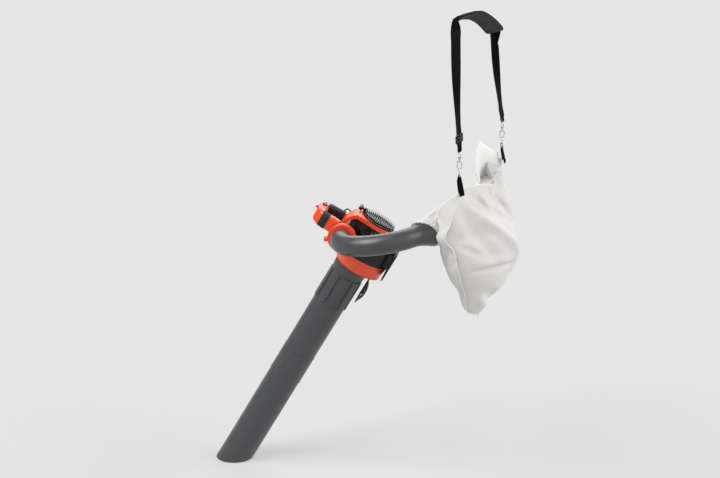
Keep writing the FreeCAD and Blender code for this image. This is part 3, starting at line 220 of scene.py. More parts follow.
def tube_plastic(name, base):
    """Blow-moulded grey tube: satin, faint lengthwise draw marks and scuffs."""
    paint = moulded(name, base, 0.37, 0.000015, edge=1.6, edge_radius=0.0012, specular=0.55, mottle=0.04)
    along = paint.stretched((0.25, 0.25, 6.0), (0, TILT, 0))
    drawn = paint.levels(paint.noise(60, 3, 0.5, along), 0.35, 0.65)
    old = paint.shader.inputs["Base Color"].links[0].from_socket
    scuff = paint.levels(paint.noise(22, 8, 0.7), 0.60, 0.78)
    dusty = paint.mix(scuff, old, shade(base, 1.8), 0.35)
    paint.set("Base Color", paint.mix(drawn, dusty, shade(base, 0.8), 0.25))
    return paint


def rubber(name, base, rough=0.62, dots=0.0):
    """Matt rubber or soft moulding, with small raised dots where it is a grip."""
    paint = Paint(name)
    soft = paint.rounded(0.0008)
    bloom = paint.levels(paint.noise(40, 5, 0.6), 0.4, 0.75)
    paint.set("Base Color", paint.mix(bloom, base, shade(base, 1.7)))
    paint.set("Roughness", paint.levels(paint.noise(120, 3), 0.3, 0.7, rough - 0.08, rough + 0.1))
    relief = paint.bump(paint.noise(1800, 2), 0.00003, soft)
    if dots:
        studs = paint.levels(paint.cells(420), 0.25, 0.45, 1.0, 0.0)
        relief = paint.bump(studs, dots, relief)
    paint.set("Normal", relief)
    paint.set("Specular IOR Level", 0.4)
    return paint


def metal(name, base, rough, brushed=0.0, cast=0.0, tint=None):
    """Bare metal: turned, brushed or cast, with darker oxide in its mottling."""
    paint = Paint(name)
    soft = paint.rounded(0.0005)
    patches = paint.levels(paint.noise(70, 5, 0.65), 0.35, 0.7)
    paint.set("Base Color", paint.mix(patches, base, tint or shade(base, 0.72)))
    paint.set("Metallic", 1.0)
    paint.set("Roughness", paint.levels(paint.noise(160, 4), 0.3, 0.7, rough - 0.07, rough + 0.1))
    relief = soft
    if brushed:
        lines = paint.stretched((0.03, 1.0, 1.0), (0, 0, 0.2))
        relief = paint.bump(paint.noise(500, 4, 0.6, lines), brushed, relief)
    if cast:
        relief = paint.bump(paint.noise(900, 4, 0.7), cast, relief)
    paint.set("Normal", relief)
    return paint


WAVE_RATE = 20  # radians that a wave texture of scale 1 turns in a metre


def plain_weave(paint, pitch_across, pitch_along):
    """Height of a plain weave of two thread directions; a pitch is a thread's wave over 2 pi, in metres."""
    place = paint.cloth_place()
    across = paint.wave(1 / (pitch_across * WAVE_RATE), "X", place)
    along = paint.wave(1 / (pitch_along * WAVE_RATE), "Y", place)
    over = paint.calc("MULTIPLY", across, along)
    under = paint.calc("MULTIPLY", paint.calc("SUBTRACT", 1.0, across), paint.calc("SUBTRACT", 1.0, along))
    return paint.calc("ADD", over, under)


def bag_cloth(name, base):
    """Off-white woven polyester: visible weave, slubs, faint dust, small creases and a soft sheen."""
    paint = Paint(name)
    weave = plain_weave(paint, 0.0011, 0.0011)
    drawn_out = paint.stretched((0.2, 2.0, 1.0), place=paint.cloth_place())
    slub = paint.levels(paint.noise(320, 4, 0.6, drawn_out), 0.4, 0.7)
    dust = paint.levels(paint.noise(7, 6, 0.6), 0.45, 0.8)
    threads = paint.mix(weave, base, shade(base, 0.93), 0.5)
    aged = paint.mix(dust, threads, shade(base, 0.93), 0.3)
    paint.set("Base Color", paint.mix(slub, aged, shade(base, 0.92), 0.2))
    paint.set("Roughness", paint.levels(weave, 0.0, 1.0, 0.72, 0.86))
    creased = paint.bump(paint.noise(28, 5, 0.62), 0.0022)
    fine = paint.bump(paint.noise(120, 4, 0.6), 0.0005, creased)
    paint.set("Normal", paint.bump(weave, 0.00012, fine))
    paint.set("Sheen Weight", 0.25)
    paint.set("Sheen Roughness", 0.45)
    paint.set("Specular IOR Level", 0.25)
    paint.let_through(0.45, base)
    return paint


def webbing(name, base, pitch=0.0022, rough=0.55):
    """Nylon webbing: ribs across the strap, broken by the lengthwise threads, with fuzzy worn edges."""
    paint = Paint(name)
    place = paint.cloth_place()
    weave = plain_weave(paint, pitch, pitch * 0.8)
    fibre = paint.noise(700, 4, 0.6, paint.stretched((1.0, 0.15, 1.0), place=place))
    worn = paint.levels(paint.noise(35, 5, 0.6), 0.45, 0.8)
    body = paint.mix(weave, shade(base, 0.55), shade(base, 1.35))
    paint.set("Base Color", paint.mix(worn, body, shade(base, 2.2), 0.4))
    paint.set("Roughness", paint.levels(fibre, 0.3, 0.7, rough - 0.1, rough + 0.12))
    relief = paint.bump(fibre, 0.00012)
    paint.set("Normal", paint.bump(weave, 0.0004, relief))
    paint.set("Specular IOR Level", 0.05)
    return paint


def foam(name, base):
    """Open-celled filter foam: dark pores in a matt body."""
    paint = Paint(name)
    pores = paint.levels(paint.cells(900), 0.1, 0.5)
    paint.set("Base Color", paint.mix(pores, shade(base, 0.3), base))
    paint.set("Roughness", paint.levels(paint.noise(200), 0.3, 0.7, 0.85, 0.98))
    paint.set("Normal", paint.bump(pores, 0.0004))
    return paint


def clear_plastic(name, base, rough, through):
    """Translucent moulding, such as the primer bulb and the tank."""
    paint = moulded(name, base, rough, edge=1.15)
    paint.set("Transmission Weight", through)
    paint.set("IOR", 1.45)
    return paint


ORANGE = colour(226, 68, 19)
PAINTS = {paint.name: paint for paint in (
    moulded("orange_shell", ORANGE, 0.30, edge=1.12, specular=0.55, mottle=0.05),
    tube_plastic("grey_tube", colour(62, 63, 65)),
    moulded("black_case", colour(17, 18, 20), 0.36, grain=0.00004, edge=2.4, specular=0.35),
    rubber("soft_grip", colour(22, 22, 23), dots=0.0003),
    moulded("red_control", colour(176, 26, 18), 0.32, edge=1.3),
    clear_plastic("tank_shell", colour(58, 57, 54), 0.34, 0.12),
    bag_cloth("bag_cloth", colour(236, 235, 232)),
    webbing("webbing", colour(7, 7, 8)),
    webbing("pad_cloth", colour(16, 16, 17), pitch=0.0012, rough=0.6),
    metal("bright_steel", colour(212, 214, 216), 0.2, brushed=0.00002, tint=colour(150, 152, 155)),
    metal("machined_steel", colour(170, 171, 172), 0.3, brushed=0.00003),
    metal("cast_alloy", colour(178, 180, 182), 0.42, cast=0.00012),
    metal("muffler_steel", colour(120, 108, 96), 0.5, cast=0.00006, tint=colour(86, 66, 50)),
    moulded("fan_plastic", colour(44, 46, 48), 0.45, edge=1.6),
    rubber("black_rubber", colour(18, 18, 19)),
    foam("filter_foam", colour(120, 112, 96)),
    clear_plastic("clear_rubber", colour(206, 196, 168), 0.22, 0.45),
)}


def finish_cad_nodes():
    """Gives every CAD node the finish of its slot."""
    slots = {part["node"]: part["material_slot"] for part in frame["record"]["subparts"]}
    for name, node in frame["nodes"].items():
        node.data.materials.clear()
        node.data.materials.append(PAINTS[slots[name]].material)


# ---- mesh toolkit ----
def track(stations, places):
    """Smooth values between (place, value) stations; a value is a number or a point."""
    keys = np.array([station[0] for station in stations], float)
    values = np.array([np.atleast_1d(station[1]) for station in stations], float)
    slopes = np.gradient(values, keys, axis=0)
    places = np.asarray(places, float)
    index = np.clip(np.searchsorted(keys, places, side="right") - 1, 0, len(keys) - 2)
    gap = (keys[index + 1] - keys[index])[:, None]
    t = np.clip((places - keys[index])[:, None] / gap, 0, 1)
    start, end = values[index], values[index + 1]
    lead, tail = slopes[index] * gap, slopes[index + 1] * gap
    found = (start * (2 * t ** 3 - 3 * t ** 2 + 1) + lead * (t ** 3 - 2 * t ** 2 + t)
             + end * (3 * t ** 2 - 2 * t ** 3) + tail * (t ** 3 - t ** 2))
    return found[:, 0] if found.shape[1] == 1 else found


def set_smooth(mesh, smooth=True):
    mesh.polygons.foreach_set("use_smooth", [smooth] * len(mesh.polygons))


def new_mesh(name, points, faces, cloth=None, smooth=True):
    """Mesh of those points and faces; cloth is each point's place on the material as it was cut."""
    mesh = bpy.data.meshes.new(name)
    mesh.from_pydata([tuple(point) for point in points], [], faces)
    if cloth is not None:
        attribute = mesh.attributes.new("cloth", "FLOAT_VECTOR", "POINT")
        attribute.data.foreach_set("vector", np.asarray(cloth, np.float32).ravel())
    set_smooth(mesh, smooth)
    mesh.update()
    return mesh


def add_object(name, data):
    made = bpy.data.objects.new(name, data)
    bpy.context.scene.collection.objects.link(made)
    return made


def piece(mesh, slot, body="machine", paint=None):
    """Adds an object of the mesh's name, paints it, and makes it ride on a body unless that is None."""
    made = add_object(mesh.name, mesh)
    mesh.materials.clear()
    mesh.materials.append((paint or PAINTS[slot]).material)
    if body:
        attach(made, body)
    return made


def grid_faces(rows, columns, closed=False):
    """Quads of a grid of points stored row by row; closed joins the last column to the first."""
    faces = []
    last = columns if closed else columns - 1
    for row in range(rows - 1):
        for column in range(last):
            following = (column + 1) % columns
            faces.append((row * columns + column, row * columns + following,
                          (row + 1) * columns + following, (row + 1) * columns + column))
    return faces


def tube_faces(rows, sides):
    """Faces of a tube of rings: its wall and its two ends."""
    faces = grid_faces(rows, sides, closed=True)
    faces.append(tuple(range(sides))[::-1])
    faces.append(tuple((rows - 1) * sides + k for k in range(sides)))
    return faces


def apply_modifiers(made):
    """Replaces an object's mesh by what its modifiers make of it."""
    graph = bpy.context.evaluated_depsgraph_get()
    mesh = bpy.data.meshes.new_from_object(made.evaluated_get(graph), depsgraph=graph)
    made.modifiers.clear()
    made.data = mesh


def points_of(made):
    return np.array([vertex.co for vertex in made.data.vertices])


def move_points(made, points):
    made.data.vertices.foreach_set("co", points.astype(np.float32).ravel())


def unit(vectors):
    return vectors / np.linalg.norm(vectors, axis=-1, keepdims=True)


def square_to(vectors, way):
    """The part of each vector at right angles to the way, at length 1."""
    return unit(vectors - way * np.sum(vectors * way, axis=-1, keepdims=True))


def eased(value):
    """From 0 to 1 with a soft start and a soft end."""
    value = np.clip(value, 0, 1)
    return value * value * (3 - 2 * value)


def path_frames(centres, across):
    """Width direction and outward normal at each point of a path."""
    way = unit(np.gradient(centres, axis=0))
    side = square_to(across, way)
    return side, np.cross(way, side)


def between(places, keys, points):
    """Points at those places, straight between the given ones."""
    return np.stack([np.interp(places, keys, np.asarray(points)[:, axis]) for axis in range(3)], axis=1)


def lengths(points):
    """Distance along a path to each of its points."""
    steps = np.linalg.norm(np.diff(points, axis=0), axis=1)
    return np.concatenate([[0], np.cumsum(steps)])


BAND_SIDES = 9  # points across a webbing's face


def band_mesh(name, stations, width, thick, samples):
    """Webbing along (place, centre, width direction, width share) stations, with rounded selvedges."""
    places = np.linspace(stations[0][0], stations[-1][0], samples)
    centres = track([(s[0], s[1]) for s in stations], places)
    across = track([(s[0], s[2]) for s in stations], places)
    share = track([(s[0], s[3]) for s in stations], places)
    side, normal = path_frames(centres, across)
    run = lengths(centres)
    spread = np.linspace(-1, 1, BAND_SIDES)
    bulge = np.sqrt(np.clip(1 - np.abs(spread) ** 6, 0.05, 1))
    ring = list(zip(spread, bulge)) + list(zip(spread[::-1], -bulge[::-1]))
    points = []
    cloth = []
    for i in range(samples):
        for x, h in ring:
            points.append(centres[i] + side[i] * (x * width * share[i] / 2) + normal[i] * (h * thick / 2))
            cloth.append((x * width / 2, run[i], h))
    return new_mesh(name, points, tube_faces(samples, len(ring)), cloth)


CORD_SIDES = 8


def cord_points(centres, radius, sides=CORD_SIDES):
    """Rings of points round a path, without twist."""
    way = unit(np.gradient(centres, axis=0))
    side = np.cross(way[0], (0.31, 0.17, 0.94))
    rings = []
    radii = np.broadcast_to(radius, (len(centres),))
    for i in range(len(centres)):
        side = square_to(side, way[i])
        other = np.cross(way[i], side)
        for k in range(sides):
            turn = 2 * math.pi * k / sides
            rings.append(centres[i] + (side * math.cos(turn) + other * math.sin(turn)) * radii[i])
    return rings


def tube_mesh(name, centres, radius, sides=CORD_SIDES):
    centres = np.asarray(centres, float)
    points = cord_points(centres, radius, sides)
    cloth = [(radius, run, k) for run in lengths(centres) for k in range(sides)]
    return new_mesh(name, points, tube_faces(len(centres), sides), cloth)


STITCH_STEPS = 5  # points along one stitch
STITCH_SIDES = 5


def stitch_mesh(name, path, normals, pitch, thread=0.0005, fill=0.62):
    """Stitches along a path, each a short thread that rises from one hole and dives into the next."""
    path = np.asarray(path, float)
    run = lengths(path)
    count = max(1, int(run[-1] / pitch))
    points = []
    faces = []
    for i in range(count):
        ends = np.linspace(i * pitch, (i + fill) * pitch, STITCH_STEPS)
        centres = between(ends, run, path)
        lift = between(ends, run, normals)
        rise = np.sin(np.linspace(0, math.pi, STITCH_STEPS))[:, None]
        centres = centres + lift * (rise * thread * 1.4 - thread * 0.4)
        first = len(points)
        points += cord_points(centres, thread * (0.7 + 0.3 * rise[:, 0]), STITCH_SIDES)
        faces += [tuple(first + k for k in face) for face in tube_faces(STITCH_STEPS, STITCH_SIDES)]
    cloth = [(0.0, 0.0, 0.0)] * len(points)
    return new_mesh(name, points, faces, cloth)


def join_meshes(name, meshes):
    """One mesh from several, with their cloth places kept."""
    build = bmesh.new()
    for mesh in meshes:
        build.from_mesh(mesh)
    joined = bpy.data.meshes.new(name)
    build.to_mesh(joined)
    build.free()
    set_smooth(joined)
    return joined


# ---- bag ----
BAG_HALF = (FAR_CORNER - NEAR_CORNER).length / 2
BAG_FOOT = -0.317  # the bag's lowest point, from its middle
ROWS = 96  # cloth grid, bottom to top
COLUMNS = 72  # cloth grid, near seam to far seam

# Heights are above the bag's middle, and out is away from the machine. The crest is the sewn top edge, from
# its near corner (0) to its far one (1): low where the cloth hangs slack, and pulled up and back beside the
# far corner. A seam gives (across, out) at each height.
CREST_Z = [(0, 0.202), (0.068, 0.205), (0.2, 0.197), (0.35, 0.184), (0.53, 0.165), (0.69, 0.148),
           (0.76, 0.15), (0.81, 0.172), (0.87, 0.204), (0.94, 0.214), (1, 0.202)]
CREST_OUT = [(0, 0), (0.068, 0.004), (0.2, 0.008), (0.35, 0.014), (0.53, 0.02), (0.69, 0.022),
             (0.76, 0.012), (0.81, -0.008), (0.87, -0.031), (0.94, -0.018), (1, 0)]
NEAR_SEAM = [(-0.317, (-0.035, 0.004)), (-0.278, (-0.092, 0.002)), (-0.178, (-0.16, 0.01)),
             (-0.137, (-0.187, 0.01)), (-0.091, (-0.206, 0.007)), (-0.045, (-0.216, -0.001)),
             (0, (-0.224, -0.012)), (0.023, (-0.234, -0.031)), (0.087, (-0.231, -0.021)),
             (0.157, (-0.227, -0.014)), (0.202, (-0.212, 0))]
FAR_SEAM = [(-0.317, (0.03, 0)), (-0.27, (0.07, 0.006)), (-0.18, (0.14, 0.014)), (-0.09, (0.196, 0.014)),
            (0, (0.222, 0.012)), (0.104, (0.216, 0.01)), (0.202, (0.212, 0))]
BELLY_OUT = [(-0.317, 0.004), (-0.27, 0.04), (-0.2, 0.078), (-0.13, 0.104), (-0.05, 0.118), (0.02, 0.112),
             (0.1, 0.074), (0.16, 0.034), (0.21, 0.012)]
# belly of the inner panel, over its height as a share of the height to the crest
BELLY_IN = [(0, 0.004), (0.09, 0.044), (0.23, 0.083), (0.37, 0.106), (0.53, 0.116), (0.7, 0.118),
            (0.82, 0.114), (0.9, 0.092), (0.96, 0.048), (1, 0.004)]


def bag_point(side, out, rise):
    """Row-frame points from arrays of places across, out of and above the bag's middle."""
    basis = np.array([ACROSS, OUT, UP])
    return np.array(BAG_MIDDLE) + np.stack([side, out, rise], axis=-1) @ basis


FOLD_SPREAD = 1.15  # a fold is full at its middle, fades towards its ends and is gone a tenth past them
FOLD_FADE = 1.9


def fold(side, rise, line):
    """Height of one fold: a soft ridge along a segment of the panel, fading at both ends."""
    *ends, height, width = np.array(line[:6]) / 1000
    start = np.array(ends[:2])
    run = np.array(ends[2:]) - start
    reach = np.dot(run, run)
    along = ((side - start[0]) * run[0] + (rise - start[1]) * run[1]) / reach
    off = ((side - start[0]) * run[1] - (rise - start[1]) * run[0]) / math.sqrt(reach)
    fade = eased(FOLD_SPREAD - np.abs(along - 0.5) * FOLD_FADE)
    shift = off / width
    return height * fade * np.exp(-shift * shift) * (1 + line[6] * shift)


# Each fold's start and end (across and above the middle), its height and its width, all in millimetres, and
# how far its ridge leans to one side. A negative height is a valley.
OUTER_FOLDS = [
    (-200, 190, 60, -80, 20, 24, 0.8), (-215, 150, -80, -100, -14, 26, 0),
    (-130, 175, 100, 0, -16, 16, 0.6), (-60, 165, 0, 60, 9, 12, 0.4),
    (20, 155, 75, 60, -10, 12, 0.4), (85, 140, 150, -20, -24, 20, 0.9),
    (195, 190, 160, -30, 14, 18, -0.6), (-205, -85, 10, -100, -16, 10, 0.9),
    (-200, -62, -10, -74, 9, 13, 0), (-225, 20, -140, -40, -12, 13, 0.6),
    (-230, 45, -130, 60, 8, 18, 0), (-110, -170, 60, -280, -18, 22, 0.6),
    (-120, -200, -30, -290, 10, 14, 0), (20, 0, 60, -200, 12, 28, 0.5),
    (120, -50, 50, -240, -12, 20, -0.5), (0, -150, 110, -190, -8, 12, 0.5),
]
INNER_FOLDS = [
    (-170, 60, -190, 190, 10, 16, 0.4), (-140, 50, -60, 180, -12, 18, 0.4),
    (-110, 30, 150, 190, 14, 22, 0.6), (-110, 0, 170, 10, -10, 22, 0.5),
    (-130, -40, 100, -160, 12, 22, 0.6), (-170, -60, -70, -230, -12, 20, 0.5),
    (-195, -50, -170, -180, 8, 14, 0), (190, 180, 60, -80, -12, 26, 0.5),
    (40, -150, 10, -280, 10, 18, 0.3),
]


def seam_place(seam, rise):
    """Across and out of a side seam at those heights, held between the bag's foot and its corners."""
    return track(seam, np.clip(rise, BAG_FOOT, BAG_TOP)).T


def panel_profile(share, rise):
    """Places across and out of the outer panel's surface."""
    near_side, near_out = seam_place(NEAR_SEAM, rise)
    far_side, far_out = seam_place(FAR_SEAM, rise)
    side = near_side * (1 - share) + far_side * share
    out = near_out * (1 - share) + far_out * share
    bow = np.sin(math.pi * np.clip(share, 0, 1)) ** 0.75
    return side, out + bow * track(BELLY_OUT, rise)


CREST_ROW = 86  # rows up to the crest; the rest turn back over it
HEM_TURN = 0.026  # how far the hem reaches down behind the crest
FOOT_RISE = 0.045  # the bottom edge curves up this far to its two ends
CLOSING = 0.72  # share of the height from which the panel closes in to the crest


def outer_panel():
    """Grid of the outer panel: up its front to the crest, then turned back over the seam."""
    share = np.linspace(0, 1, COLUMNS)
    crest = track(CREST_Z, share)
    crest_out = track(CREST_OUT, share)
    seam_side = (2 * share - 1) * BAG_HALF
    bottom = BAG_FOOT + FOOT_RISE * np.abs(2 * share - 1) ** 2.2
    points = []
    for row in range(ROWS):
        t = min(1.0, row / CREST_ROW)
        rise = bottom + (crest - bottom) * t
        side, out = panel_profile(share, rise)
        near_top = eased((t - CLOSING) / (1 - CLOSING))
        side = side * (1 - near_top) + seam_side * near_top
        out = out * (1 - near_top) + crest_out * near_top
        for line in OUTER_FOLDS:
            out = out + fold(side, rise, line) * np.sin(math.pi * share) ** 0.4
        turned = max(0, row - CREST_ROW) / (ROWS - 1 - CREST_ROW)
        tuck = HEM_TURN * np.sin(math.pi * share) ** 0.5
        rise = rise - tuck * turned ** 1.6
        out = out - tuck * 0.5 * math.sqrt(turned)
        points.append(bag_point(side, out, rise))
    return np.array(points)


# The slack cloth beside the far corner stands up as one fold: the place across of its free edge at each
# height, and the height of its top over its width.
FLAP_EDGE = [(0.13, 0.087), (0.164, 0.069), (0.197, 0.057), (0.234, 0.055), (0.271, 0.066), (0.293, 0.085)]
FLAP_TOP = [(0, 0.291), (0.05, 0.293), (0.22, 0.288), (0.45, 0.275), (0.64, 0.259), (0.84, 0.239),
            (1, 0.222)]
FLAP_EDGE_OUT = -0.038
FLAP_END = (0.208, -0.006)  # across and out, where it is sewn in at the far corner
FLAP_START = 0.63  # its foot runs behind the crest from this share to the far corner
FLAP_FOOT_TOP = 0.150  # no higher than this, and this much lower than the crest
FLAP_FOOT_DROP = 0.030
FLAP_BOW = 0.024  # its middle stands this far behind a straight sheet, clear of the crest
FLAP_ROWS = 44
FLAP_COLUMNS = 34
FLAP_THICK = 0.007


def standing_flap():
    """Closed rings of the doubled cloth, from its foot behind the crest up to its top edge."""
    share = np.linspace(0, 1, FLAP_COLUMNS)
    rings = []
    for row in range(FLAP_ROWS):
        v = row / (FLAP_ROWS - 1)
        crest = track(CREST_Z, FLAP_START + (1 - FLAP_START) * share)
        foot = np.minimum(crest, FLAP_FOOT_TOP) - FLAP_FOOT_DROP - 0.020 * (1 - share)
        rise = foot + (track(FLAP_TOP, share) - foot) * v
        side = track(FLAP_EDGE, rise) * (1 - share) + FLAP_END[0] * share
        out = FLAP_EDGE_OUT * (1 - share) + FLAP_END[1] * share
        arch = np.sin(math.pi * share)
        wave = 0.004 * np.sin(share * 9 + 0.6) * (1 - 0.4 * v) * arch + 0.003 * np.sin(v * 7 + share * 4)
        out = out - FLAP_BOW * arch + wave
        half = 0.0008 + FLAP_THICK / 2 * arch ** 0.4 * max(0.0, 1 - v ** 6) ** 0.5
        front = bag_point(side, out + half, rise)
        back = bag_point(side, out - half, rise)[::-1]
        rings.append(np.concatenate([front, back[1:-1]]))
    return np.array(rings)


NECK_SIDES = 96  # points round the neck's rings
SLEEVE_ROWS = 20  # rings of the sleeve, from its hem to the panel
PANEL_ROWS = 48  # rings of the panel, from the sleeve's foot to the bag's seams
HEM_BACK = 0.054  # the sleeve reaches this far back over the flare on its far upper side
HEM_GAP = 0.003  # clearance between the cloth and the elbow
NECK_ON_PANEL = (-0.126, 0.038)  # across and above the middle: where the sleeve meets the panel
FOOT_R = (0.066, 0.108)  # sleeve's foot, on its near lower and on its far upper side
GATHERS = 26  # pleats round the neck


def panel_place(points):
    """Across, out and rise of row-frame points."""
    return (points - np.array(BAG_MIDDLE)) @ np.array([ACROSS, OUT, UP]).T


def inner_surface(side, rise):
    """Row-frame points of the inner panel's surface."""
    near_side, near_out = seam_place(NEAR_SEAM, rise)
    far_side, far_out = seam_place(FAR_SEAM, rise)
    share = np.clip((side - near_side) / (far_side - near_side), 0, 1)
    crest_share = np.clip((side / BAG_HALF + 1) / 2, 0, 1)
    crest = track(CREST_Z, crest_share)
    level = np.clip((rise - BAG_FOOT) / (crest - BAG_FOOT), 0, 1)
    seam_out = near_out * (1 - share) + far_out * share
    at_top = level ** 6
    base = seam_out * (1 - at_top) + (track(CREST_OUT, crest_share) - 0.006) * at_top
    depth = np.sin(math.pi * share) ** 0.5 * track(BELLY_IN, level)
    lift = np.zeros(len(side))
    for line in INNER_FOLDS:
        lift = lift + fold(side, rise, line)
    return bag_point(side, base - depth - lift * np.clip(depth / 0.04, 0, 1), rise)


# the inner panel's top edge: sewn just behind the crest, then behind the standing fold
INNER_TOP_Z = [(0, 0.2), (0.068, 0.201), (0.2, 0.192), (0.35, 0.178), (0.53, 0.159), (0.69, 0.142),
               (0.8, 0.146), (0.9, 0.16), (1, 0.198)]
INNER_TOP_OUT = [(0, -0.002), (0.2, 0.003), (0.35, 0.008), (0.53, 0.012), (0.67, 0.006), (0.71, -0.034),
                 (0.76, -0.048), (0.85, -0.054), (0.93, -0.038), (1, -0.004)]


def outline_at(outer, wanted):
    """Points on the outer panel's sewn edge in the wanted directions from the neck."""
    share = np.linspace(0, 1, COLUMNS)[1:-1]
    top = bag_point((2 * share - 1) * BAG_HALF, track(INNER_TOP_OUT, share), track(INNER_TOP_Z, share))
    sides = outer[:CREST_ROW + 1]
    loop = np.concatenate([sides[::-1, 0], outer[0, 1:-1], sides[:, -1], top[::-1]])
    place = panel_place(loop)
    angle = np.unwrap(np.arctan2(place[:, 2] - NECK_ON_PANEL[1], place[:, 0] - NECK_ON_PANEL[0]))
    angle = np.maximum.accumulate(angle) + np.linspace(0, 0.02, len(angle))
    start = angle[0]
    wanted = start + np.mod(wanted - start, 2 * math.pi)
    closed = np.concatenate([angle, [start + 2 * math.pi]])
    ringed = np.concatenate([loop, loop[:1]])
    return between(wanted, closed, ringed)


FLARE_AT = [-0.086, -0.065, -0.043, -0.021, 0.0]
FLARE_R = [0.0355, 0.0364, 0.0402, 0.0463, 0.050]


def flare_radius(along):
    """Outside radius of the elbow's flared end, at a distance from its rim, which is negative before it."""
    return np.interp(along, FLARE_AT, FLARE_R)


NEAR_LOWER = math.radians(-45)  # the neck's near lower side, where the sleeve reaches least far back
SLEEVE_LEAVE = (0.45, 0.12)  # how strongly the sleeve leaves its hem along the neck, and outward
SLEEVE_ARRIVE = 0.30  # and how strongly it meets the panel


def inner_panel(outer):
    """Rings from the neck's hem down its sleeve, then over the bellied panel to the bag's seams."""
    turn = np.linspace(0, 2 * math.pi, NECK_SIDES, endpoint=False)
    near_way = NECK_WAY.cross(UP).normalized()
    up_way = near_way.cross(NECK_WAY)
    radial = np.outer(np.cos(turn), near_way) + np.outer(np.sin(turn), up_way)
    behind = 0.5 - 0.5 * np.cos(turn - NEAR_LOWER)
    hem_at = HEM_GAP - (HEM_BACK + HEM_GAP) * behind ** 1.2
    hem_r = flare_radius(hem_at) + HEM_GAP
    hem = np.array(NECK) + np.outer(hem_at, NECK_WAY) + radial * hem_r[:, None]
    way_out = unit(panel_place(radial + np.array(BAG_MIDDLE))[:, [0, 2]])
    edge = outline_at(outer, np.arctan2(way_out[:, 1], way_out[:, 0]))
    centre = np.array(NECK_ON_PANEL)
    edge_place = panel_place(edge)[:, [0, 2]]
    reach = np.linalg.norm(edge_place - centre, axis=1)
    foot_r = np.minimum(FOOT_R[0] + (FOOT_R[1] - FOOT_R[0]) * behind, reach * 0.72)

    def on_panel(distance):
        place = centre + way_out * distance[:, None]
        return inner_surface(place[:, 0], place[:, 1])

    foot = on_panel(foot_r)
    foot_way = unit(on_panel(foot_r + 0.006) - foot)
    apart = np.linalg.norm(foot - hem, axis=1)[:, None]
    leave = hem + np.array(NECK_WAY) * apart * SLEEVE_LEAVE[0] + radial * apart * SLEEVE_LEAVE[1]
    arrive = foot - foot_way * apart * SLEEVE_ARRIVE
    rings = []
    for row in range(SLEEVE_ROWS):
        t = row / SLEEVE_ROWS
        left = 1 - t
        ring = hem * left ** 3 + leave * (3 * t * left ** 2) + arrive * (3 * t * t * left) + foot * t ** 3
        pleat = 0.0016 * np.cos(turn * GATHERS + 1.5 * np.sin(turn * 3)) * left ** 1.5
        pleat = pleat + 0.0035 * np.cos(turn * 7 + 1) * math.sin(math.pi * t)
        rings.append(ring + radial * pleat[:, None])
    for row in range(PANEL_ROWS):
        t = row / (PANEL_ROWS - 1)
        ring = on_panel(foot_r + (reach - foot_r) * t)
        sewn = t ** 5
        rings.append(ring * (1 - sewn) + edge * sewn)
    return np.array(rings)


SETTLE_FRAMES = 18
SETTLE_OUTER = 0.011  # how far the cloth may move as it settles: outer panel, and inner panel
SETTLE_INNER = 0.010
SLACK = -0.035  # the cloth is this share larger than its hung shape, so it buckles
CLOTH_FEEL = {"mass": 0.12, "tension_stiffness": 20, "compression_stiffness": 20, "shear_stiffness": 8,
              "bending_stiffness": 0.6, "shrink_min": SLACK, "quality": 6, "vertex_group_mass": "pinned"}


def settle(made, pinned, cap):
    """Lets slack cloth buckle between its fixed edges; no point moves further than cap."""
    group = made.vertex_groups.new(name="pinned")
    group.add([int(i) for i in pinned], 1.0, "REPLACE")
    before = points_of(made)
    cloth = made.modifiers.new("settle", "CLOTH").settings
    for name, value in CLOTH_FEEL.items():
        setattr(cloth, name, value)
    cloth.effector_weights.gravity = 0.25
    for number in range(1, SETTLE_FRAMES + 1):
        bpy.context.scene.frame_set(number)
    apply_modifiers(made)
    bpy.context.scene.frame_set(1)
    moved = points_of(made) - before
    size = np.linalg.norm(moved, axis=1, keepdims=True)
    cap = np.broadcast_to(cap, (len(moved),))[:, None]
    move_points(made, before + moved * (cap * np.tanh(size / cap) / np.maximum(size, 1e-9)))
    made.vertex_groups.clear()


def keep_off_elbow(made):
    """Moves any cloth point that lies inside the elbow's flared end out to just clear of it."""
    points = points_of(made)
    apart = points - np.array(NECK)
    along = apart @ np.array(NECK_WAY)
    radial = apart - np.outer(along, NECK_WAY)
    radius = np.linalg.norm(radial, axis=1)
    wanted = flare_radius(along) + HEM_GAP
    inside = (along < 0) & (along > FLARE_AT[0]) & (radius < wanted) & (radius > 0.01)
    points[inside] += (radial * ((wanted - radius) / np.maximum(radius, 1e-6))[:, None])[inside]
    move_points(made, points)


CLOTH_THICK = 0.0009


def finish_cloth(made):
    """Rounds the cloth grid once and gives it the fabric's own thickness."""
    made.modifiers.new("round", "SUBSURF").levels = 1
    thick = made.modifiers.new("thick", "SOLIDIFY")
    thick.thickness = CLOTH_THICK
    thick.offset = -1
    apply_modifiers(made)
    set_smooth(made.data)


SEAM_WIDTH = 0.007


def seam_fin(name, line, outward):
    """Bound seam allowance: a narrow doubled strip of cloth that stands out along a sewn edge."""
    line = np.asarray(line, float)
    keep = np.concatenate([[True], np.linalg.norm(np.diff(line, axis=0), axis=1) > 1e-5])
    line = line[keep]
    way = unit(np.gradient(line, axis=0))
    stand = square_to(np.array(outward), way)
    ripple = 0.0008 * np.sin(lengths(line) * 210)[:, None] * np.cross(way, stand)
    centres = line + stand * (SEAM_WIDTH / 2 - 0.002) + ripple
    places = np.linspace(0, 1, len(line))
    stations = [(places[i], centres[i], stand[i], 1.0) for i in range(0, len(line), 2)]
    return band_mesh(name, stations, SEAM_WIDTH, 0.0022, len(line))


